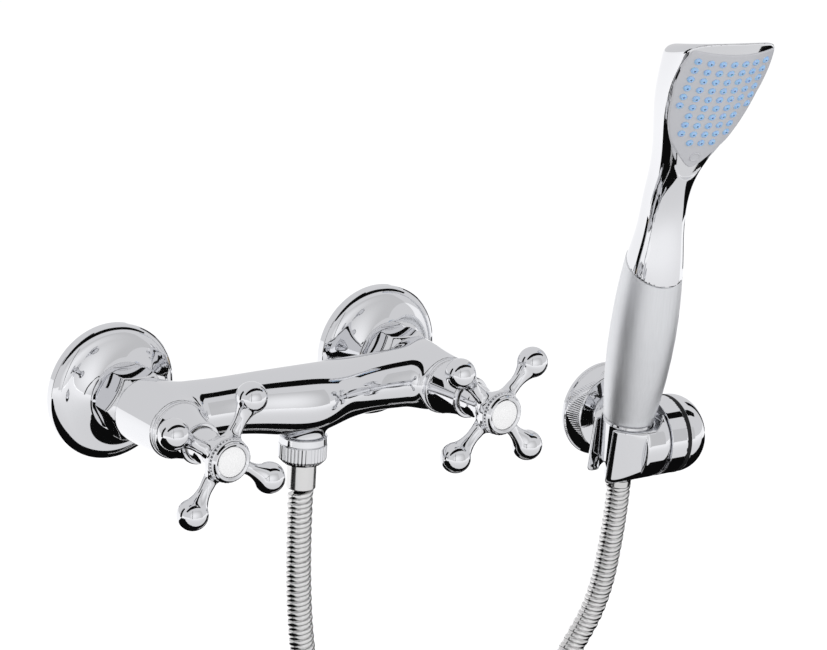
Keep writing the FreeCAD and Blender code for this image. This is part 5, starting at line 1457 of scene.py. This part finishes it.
@dataclass(frozen=True)
class HandShower:
    """Cone nut, satin grip, chrome head with its crowned spray plate, and soft nozzles."""

    seam_height: float = 85.0
    seam_slant: float = 22.0
    seam_gap: float = 0.15
    swell: float = 3.3
    swell_height: float = 45.5
    crown: float = 55.0
    pitch_angle: float = 20.7
    face_middle: tuple[float, float] = (-40.6, 206.7)  # y and height
    roof: tuple[float, float, float] = (-45.25, 219.0, 19.0)  # y, height, slope in degrees
    rows: tuple[int, ...] = (7, 7, 7, 7, 7, 7, 5, 5, 5, 3)
    nozzle_pitch: float = 6.15
    row_pitch: float = 5.57
    plate_proud: float = 0.5
    step_tip: float = 71.0
    step_lean: float = 52.0
    step_depth: float = 0.75
    cap_below: float = 59.4

    @property
    def face_seat(self) -> Seat:
        """The spray face's own frame: X across, Y up the face, Z out of it."""
        y, h = self.face_middle
        return HAND_SEAT.moved(0.0, y, GRIP_FOOT + h).turned("X", 90.0 + self.pitch_angle)

    @property
    def arc(self) -> float:
        """The swell's radius: its half chord's and its own squares over twice the swell."""
        return (self.swell_height ** 2 + self.swell ** 2) / (2.0 * self.swell)

    def grip_radius(self, height: Array) -> Array:
        """The grip's radius: a straight taper plus a shallow circular swell."""
        bow = np.sqrt(self.arc ** 2 - (height - self.swell_height) ** 2) - self.arc
        return 13.0 + height / (2.0 * self.swell_height) + bow + self.swell

    def cone(self) -> Skin:
        """The hose's conical nut, from its foot to the grip."""
        return lathe([
            (6.9, 0.0, 0.1), (7.2, 0.0, 0.1), (7.6, 0.6, 0.2), (7.8, 2.0, 0.6),
            (10.85, 10.0, 0.8, -9.0), (12.8, 31.8, 0.4), (12.1, 33.0, 0.2), (9.0, 33.0, 0.1),
            (7.0, 12.0, 0.1)], CUP_SEAT.moved(z=CONE_TOP - 33.0), 112)

    def sleeve(self) -> Skin:
        """The hose's lower sleeve, under the cone nut."""
        return lathe([(6.35, 0.0, 0.1), (6.6, 0.0, 0.1), (6.8, 0.4, 0.2), (6.8, 12.0, 0.1),
                      (6.35, 12.0, 0.1)], CUP_SEAT.moved(z=CONE_TOP - 37.0), 72)

    def grip(self) -> Skin:
        """The satin sleeve, whose top is moved to the slanted seam: the height rises with
        the tangent of the slant times the distance in front of the axis.

        Returns:
            The sleeve's surface.
        """
        slant = math.tan(math.radians(self.seam_slant))
        top = self.seam_height - self.seam_gap

        def lean(radius: Array, height: Array, angle: Array) -> Array:
            """Moves the top edge to the seam, and less and less below it."""
            return height + ramp(height, 30.0, 84.8) * slant * radius * np.sin(angle)

        return lathe([
            (9.4, 0.0, 0.1), (12.2, 0.0, 0.2), (13.0, 0.8, 0.45),
            (float(self.grip_radius(np.array(84.5))), 84.5, 0.2, self.arc),
            (14.3, top, 0.1), (9.4, top, 0.1)], GRIP_SEAT, 128, shift=lean)

    def head(self) -> Skin:
        """The chrome neck and head. Across, it is a superellipse whose half width, front
        and back follow splines of the height; the crowned face, the sloping top and the
        slanted seam cut it off with eased edges.

        Returns:
            The head's surface.
        """
        heights = [68.0, 78.0, 90.0, 104.0, 121.0, 135.0, 150.0, 165.0, 180.0, 195.0, 208.0, 230.0]
        low = [float(self.grip_radius(np.array(h))) for h in heights[:3]]
        half = SmoothCurve(heights, low + [12.14, 11.4, 11.65, 14.7, 19.54, 24.02, 26.0, 26.0,
                                           26.0])
        front = SmoothCurve(heights, low + [12.14, 11.4, 15.03, 21.01, 27.18, 33.3, 39.18, 44.09,
                                            52.4])
        back = SmoothCurve(heights, low + [12.14, 11.4, 10.1, 6.6, 2.14, -2.02, -4.66, -5.0, -5.0])
        tilt, slant, fall = (math.radians(v)
                             for v in (self.pitch_angle, self.seam_slant, self.roof[2]))
        recess = self.leaf(0.7)

        def shape(x: Array, y: Array, h: Array) -> Array:
            """Distance: the lofted section, then its three cuts. The face is cut across
            the whole head above, and lower down only where the plate's leaf lies.

            Args:
                x, y, h: own coordinates in millimetres, h up the grip.

            Returns:
                The distance in millimetres.
            """
            wide, fore, aft = half(h), front(h), back(h)
            deep, middle = (fore + aft) / 2.0, (aft - fore) / 2.0
            power = 2.0 + 0.55 * ramp(h, 130.0, 195.0)
            ring = np.abs(x / wide) ** power + np.abs((y - middle) / deep) ** power
            body = (ring ** (1.0 / power) - 1.0) * np.minimum(wide, deep)
            ahead, rise = y - self.face_middle[0], h - self.face_middle[1]
            out = -ahead * math.cos(tilt) - rise * math.sin(tilt)
            down = ahead * math.sin(tilt) - rise * math.cos(tilt)
            face = self.crown - np.hypot(x, out + self.crown)
            bed = meet(face, np.minimum(outline_distance(recess, x, down), down - 26.0), 0.8)
            top = (y - self.roof[0]) * math.sin(fall) + (h - self.roof[1]) * math.cos(fall)
            seam = y * math.sin(slant) - (h - self.seam_height - self.seam_gap) * math.cos(slant)
            return meet(carve(meet(body, top, 5.0), bed, 0.9), seam, 0.35)

        return cast(shape, (-27.5, -52.0, 76.0), (27.5, 17.0, 222.0), 0.72, GRIP_SEAT)

    def leaf(self, margin: float) -> Array:
        """The plate's leaf outline in the face: X across, Y down the face.

        Args:
            margin: how far it lies outside the plate's own edge.

        Returns:
            A closed polygon.
        """
        half, top, tip = 22.9 + margin, 5.8 + margin, 72.0 + margin
        return eased_outline([
            (half - 2.5, -top, 0.0), (half, -top + 2.5, 0.0, 2.5),
            (half + 0.4, 23.0, 0.0, 56.0), (14.2 + margin, 53.0, 0.0, 74.0),
            (4.6 + margin, tip - 3.0, 0.0, 60.0), (-4.6 - margin, tip - 3.0, 0.0, 5.6),
            (-14.2 - margin, 53.0, 0.0, 60.0), (-half - 0.4, 23.0, 0.0, 74.0),
            (-half, -top + 2.5, 0.0, 56.0), (-half + 2.5, -top, 0.0, 2.5)],
            closed=True)[0]

    def plate(self) -> Skin:
        """The leaf between two crowned surfaces. Its front steps down outside a rounded V
        near the tip.

        Returns:
            The plate's surface.
        """
        outline = self.leaf(0.0)
        lean = math.radians(self.step_lean)

        def shape(x: Array, y: Array, z: Array) -> Array:
            """Distance: outline and crowned front with the V step, over a plain back.

            Args:
                x, y, z: own coordinates in millimetres.

            Returns:
                The distance in millimetres.
            """
            flat = outline_distance(outline, x, -y)
            lift = np.hypot(x, z + self.crown) - self.crown
            side = np.sqrt(x ** 2 + 12.0)
            vee = side * math.sin(lean) - (y + self.step_tip) * math.cos(lean)
            step = self.plate_proud - self.step_depth * ramp(vee, -0.6, 0.2)
            return meet(meet(flat, lift - step, 0.7), -lift - 1.7, 0.4)

        return cast(shape, (-24.5, -74.0, -8.5), (24.5, 8.0, 2.0), 0.42, self.face_seat)

    def nozzle_seats(self) -> list[Seat]:
        """One frame for every nozzle, standing square on the face's own plane.

        Returns:
            The frames, row by row.
        """
        seats = []
        for row, count in enumerate(self.rows):
            for column in range(count):
                across = (column - (count - 1) / 2.0) * self.nozzle_pitch
                lift = math.sqrt(self.crown ** 2 - across ** 2) - self.crown
                lean = math.degrees(math.asin(across / self.crown))
                seats.append(self.face_seat.moved(
                    across, -row * self.row_pitch, lift + self.plate_proud).turned("Y", lean / 2.0))
        return seats

    def build(self, shop: Workshop) -> None:
        """Makes the hand shower from foot to top.

        Args:
            shop: takes the pieces.
        """
        shop.fit(self.sleeve().piece("hose_sleeve_lower"), "hose_end", HOSE_STEEL,
                 "handset_ferrule")
        shop.fit(self.cone().piece("cone_nut_chrome"), "handset", CHROME, "cone_nut")
        shop.fit(self.grip().piece("satin_grip"), "handset", SATIN, "grip_sleeve")
        shop.fit(self.head().piece("chrome_head"), "handset", CHROME, "handset_head")
        shop.fit(self.plate().piece("spray_face"), "handset", SPRAY_GREY, "spray_plate")
        dome = [(0.0, -1.0), (1.95, -1.0, 0.1), (1.95, 0.3, 0.35), (1.15, 0.95, 0.3),
                (0.55, 0.95, 0.12), (0.45, 0.35, 0.1), (0.0, 0.3)]
        # A dark plug in each nozzle's hollow: painted shade that stands for the dark inside of its
        # hole.
        bore = [(0.0, 0.2), (0.5, 0.2, 0.05), (0.5, 0.52, 0.05), (0.0, 0.55)]
        seats = self.nozzle_seats()
        nozzles = Skin.joined([lathe(dome, seat, 14) for seat in seats])
        mouth_shade = Skin.joined([lathe(bore, seat, 10) for seat in seats])
        cap = lathe([(0.0, 0.0), (2.9, 0.0, 0.1), (2.9, 1.05, 0.3), (2.3, 1.15, 0.2),
                     (2.0, 0.85, 0.2), (0.0, 0.85)],
                    self.face_seat.moved(0.0, -self.cap_below, self.plate_proud - 0.8), 64)
        shop.fit(nozzles.piece("soft_nozzles"), "handset", NOZZLE, "nozzle_mat")
        shop.fit(mouth_shade.piece("nozzle_mouth_shade"), "handset", NOZZLE_HOLE_SHADE)
        shop.fit(cap.piece("screw_cap"), "handset", SPRAY_GREY, "plate_cap")


@dataclass(frozen=True)
class CarriedOver:
    """CAD nodes that keep their form and get a better finish."""

    finishes: tuple[tuple[Finish, tuple[str, ...]], ...] = (
        (BRASS, ("wall_connector_left", "wall_connector_right")),
        (NICKEL, ("headwork_left", "headwork_right", "spindle_left", "spindle_right")),
        (CHROME, ("outlet_nipple",)),
        (STEEL, ("handle_screw_left", "handle_screw_right", "wall_plate", "grub_screw",
                 "pivot_screw", "spring_washer")),
        (CERAMIC, ("ceramic_seats", "ceramic_rotor_left", "ceramic_rotor_right")),
        (RUBBER, ("headwork_seals", "hose_washer", "cone_washer")),
        (FIBRE, ("inlet_washers",)),
        (INNER, ("check_valve", "friction_washer", "water_tube")),
    )

    def dress(self, nodes: dict[str, bpy.types.Object]) -> None:
        """Assigns each finish to its nodes' material slots."""
        for finish, names in self.finishes:
            for name in names:
                finish.dress(nodes[name])
                LOG.info("%s keeps its form, in %s", name, finish.name)


class Shade(Enum):
    """What a studio card shows in reflections: its brightness."""

    BLACK = 0.004
    GREY = 0.74
    WHITE = 1.0


BLUER = 1.01  # blue over red and green in a card's light
SHEET_CORNERS = ((-0.5, -0.5), (0.5, -0.5), (0.5, 0.5), (-0.5, 0.5))


def sheet(name: str, centre: Place, across: Place, rise: Place,
          material: bpy.types.Material) -> bpy.types.Object:
    """A rectangle of the studio.

    Args:
        name: its name.
        centre: its middle in metres.
        across: its whole width as a vector.
        rise: its whole height as a vector.
        material: what it is made of.

    Returns:
        The new object.
    """
    middle, width, height = (np.array(v) for v in (centre, across, rise))
    mesh = bpy.data.meshes.new(name)
    mesh.from_pydata([tuple(middle + width * a + height * b) for a, b in SHEET_CORNERS], [],
                     [(0, 1, 2, 3)])
    mesh.materials.append(material)
    made = linked(name, mesh)
    return made


@dataclass(frozen=True)
class Card:
    """A card that shows in the object's reflections alone, even or, where it has a reach,
    fading out from a bright middle to the level at its edge."""

    name: str
    shade: Shade
    centre: Place
    across: Place
    rise: Place
    middle: Place = (0.0, 0.0, 0.0)
    reach: Place | None = None
    edge: float = 1.0

    def material(self) -> bpy.types.Material:
        """The card's glow: the distance from the middle, as a share of the reach along
        each axis, takes the strength from one to the edge's share of the brightness.

        Returns:
            The material.
        """
        graph = Graph(self.name)
        level = self.shade.value
        strength = 1.0
        if self.reach:
            away = graph.add("ShaderNodeMapping", {}, {
                "Vector": graph.place, "Scale": [1.0 / r for r in self.reach],
                "Location": [-m / r for m, r in zip(self.middle, self.reach)]})
            ball = graph.add("ShaderNodeTexGradient", {"gradient_type": "SPHERICAL"},
                             {"Vector": away}, "Fac")
            strength = graph.add("ShaderNodeMapRange", {"interpolation_type": "SMOOTHSTEP"},
                                 {"Value": ball, "To Min": self.edge / level})
        graph.show(graph.add("ShaderNodeEmission", {}, {
            "Color": (level, level, level * BLUER, 1.0), "Strength": strength}))
        return graph.material

    def build(self) -> None:
        """Makes the card and hides it from all but glossy rays."""
        made = sheet(self.name, self.centre, self.across, self.rise, self.material())
        for ray in ("camera", "diffuse", "shadow", "transmission"):
            setattr(made, "visible_" + ray, False)


@dataclass(frozen=True)
class Studio:
    """Camera, floor, lamps and the cards that the chrome reflects, in metres."""

    camera_at: Place = (-0.859677, -1.358121, 0.533221)
    right: Place = (0.82574863, -0.5613122, 0.0553879)
    up: Place = (0.12580589, 0.2790139, 0.95201057)
    focal_px: float = 3500.0
    width_px: float = 827.0
    sensor_mm: float = 36.0
    far: float = 50.0
    floor_z: float = -0.335
    floor_width: float = 18.0
    floor_glow: float = 0.34
    aim: Place = (0.07, -0.05, 0.0)
    lamps: tuple[tuple[str, Place, float, float], ...] = (
        ("soft_box_left", (-1.1, -1.9, 0.75), 1.4, 12.0),
        ("soft_box_right", (1.3, -1.6, 0.9), 1.2, 6.0),
    )
    cards: tuple[Card, ...] = (
        Card("card_front", Shade.WHITE, (-0.3, -2.1, 0.80), (4.6, 0.0, 0.0), (0.0, 0.0, 2.2),
             (-0.85, -2.1, 0.45), (2.6, 1.0, 1.7), 0.60),
        Card("sheet_low", Shade.GREY, (0.0, -1.14, -0.326), (4.6, 0.0, 0.0), (0.0, 1.9, 0.0),
             (0.1, -0.2, -0.326), (2.6, 1.6, 1.0), 1.0),
        Card("flag_joint", Shade.BLACK, (-0.80, -1.27, 0.62), (0.046, -0.031, 0.0),
             (0.0, 0.0, 1.7)),
        Card("flag_above", Shade.BLACK, (0.0, -0.54, 1.45), (5.6, 0.0, 0.0), (0.0, 0.56, 0.0)),
        Card("flag_under", Shade.BLACK, (0.05, 0.045, -0.324), (2.6, 0.0, 0.0),
             (0.0, 0.56, 0.0)),
        Card("flag_left", Shade.BLACK, (-1.25, 0.5, 0.2), (0.14, 0.35, 0.0), (0.0, 0.0, 1.7)),
        Card("flag_right", Shade.BLACK, (1.45, 0.42, 0.2), (-0.09, 0.25, 0.0), (0.0, 0.0, 1.5)),
    )

    def camera(self) -> None:
        """A long lens at the photograph's place; its lens length is the focal length in
        pixels times the sensor's width over the picture's."""
        data = bpy.data.cameras.new("camera")
        data.sensor_fit = "HORIZONTAL"
        data.sensor_width = self.sensor_mm
        data.lens = self.focal_px / self.width_px * self.sensor_mm
        data.clip_end = self.far
        eye = linked("camera", data)
        right, up = Vector(self.right), Vector(self.up)
        matrix = Matrix((right, up, right.cross(up))).transposed().to_4x4()
        matrix.translation = Vector(self.camera_at)
        eye.matrix_world = matrix
        bpy.context.scene.camera = eye

    def lamp(self, name: str, at: Place, size: float, power: float) -> None:
        """A square soft box aimed at the object.

        Args:
            name: its name.
            at: its middle.
            size: the length of its sides.
            power: its power in watts.
        """
        data = bpy.data.lights.new(name, "AREA")
        data.shape = "SQUARE"
        data.size = size
        data.energy = power
        made = linked(name, data)
        back = Vector(at) - Vector(self.aim)
        made.matrix_world = Matrix.Translation(at) \
            @ back.to_track_quat("Z", "Y").to_matrix().to_4x4()
        made.visible_camera = False
        made.visible_glossy = False

    def floor(self) -> None:
        """A wide pale floor that keeps the object's shadow."""
        graph = Graph("floor_white")
        camera, glossy, through = (graph.add("ShaderNodeLightPath", {}, {}, f"Is {ray} Ray")
                                   for ray in ("Camera", "Glossy", "Transmission"))
        graph.feed({"Base Color": rgba((0.95, 0.95, 0.95)), "Roughness": 0.9,
                    "Specular IOR Level": 0.0, "Emission Color": rgba((1.0, 1.0, 1.0)),
                    "Emission Strength": (camera + glossy + through) * self.floor_glow})
        sheet("floor", (0.0, 0.0, self.floor_z), (self.floor_width, 0.0, 0.0),
              (0.0, self.floor_width, 0.0), graph.material)

    def world(self) -> None:
        """An even light grey surrounding for every kind of ray."""
        made = bpy.data.worlds.new("studio_grey")
        made.use_nodes = True
        made.node_tree.nodes["Background"].inputs["Color"].default_value = \
            rgba((0.71, 0.71, 0.72))
        bpy.context.scene.world = made

    def build(self) -> None:
        """Sets the whole studio."""
        self.camera()
        self.floor()
        self.world()
        for lamp in self.lamps:
            self.lamp(*lamp)
        for card in self.cards:
            card.build()
        bpy.context.scene.view_settings.view_transform = "Standard"


def main() -> None:
    """Loads the frame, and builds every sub-assembly in order."""
    logging.basicConfig(level=logging.INFO, format="%(message)s")
    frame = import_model()
    shop = Workshop()
    Studio().build()
    Hose().build(shop)
    handles = (Handle("left", -INLET_X, 60.9), Handle("right", INLET_X, 45.1))
    casting = handles[0].cross()
    for handle in handles:
        WallFitting(handle.side, handle.x).build(shop)
        handle.build(shop, casting)
    MixerBody().build(shop)
    Outlet().build(shop)
    Bracket().build(shop)
    Holder().build(shop)
    HandShower().build(shop)
    CarriedOver().dress(frame["nodes"])
    LOG.info("%d pieces made", shop.made)


if __name__ == "__main__":
    main()
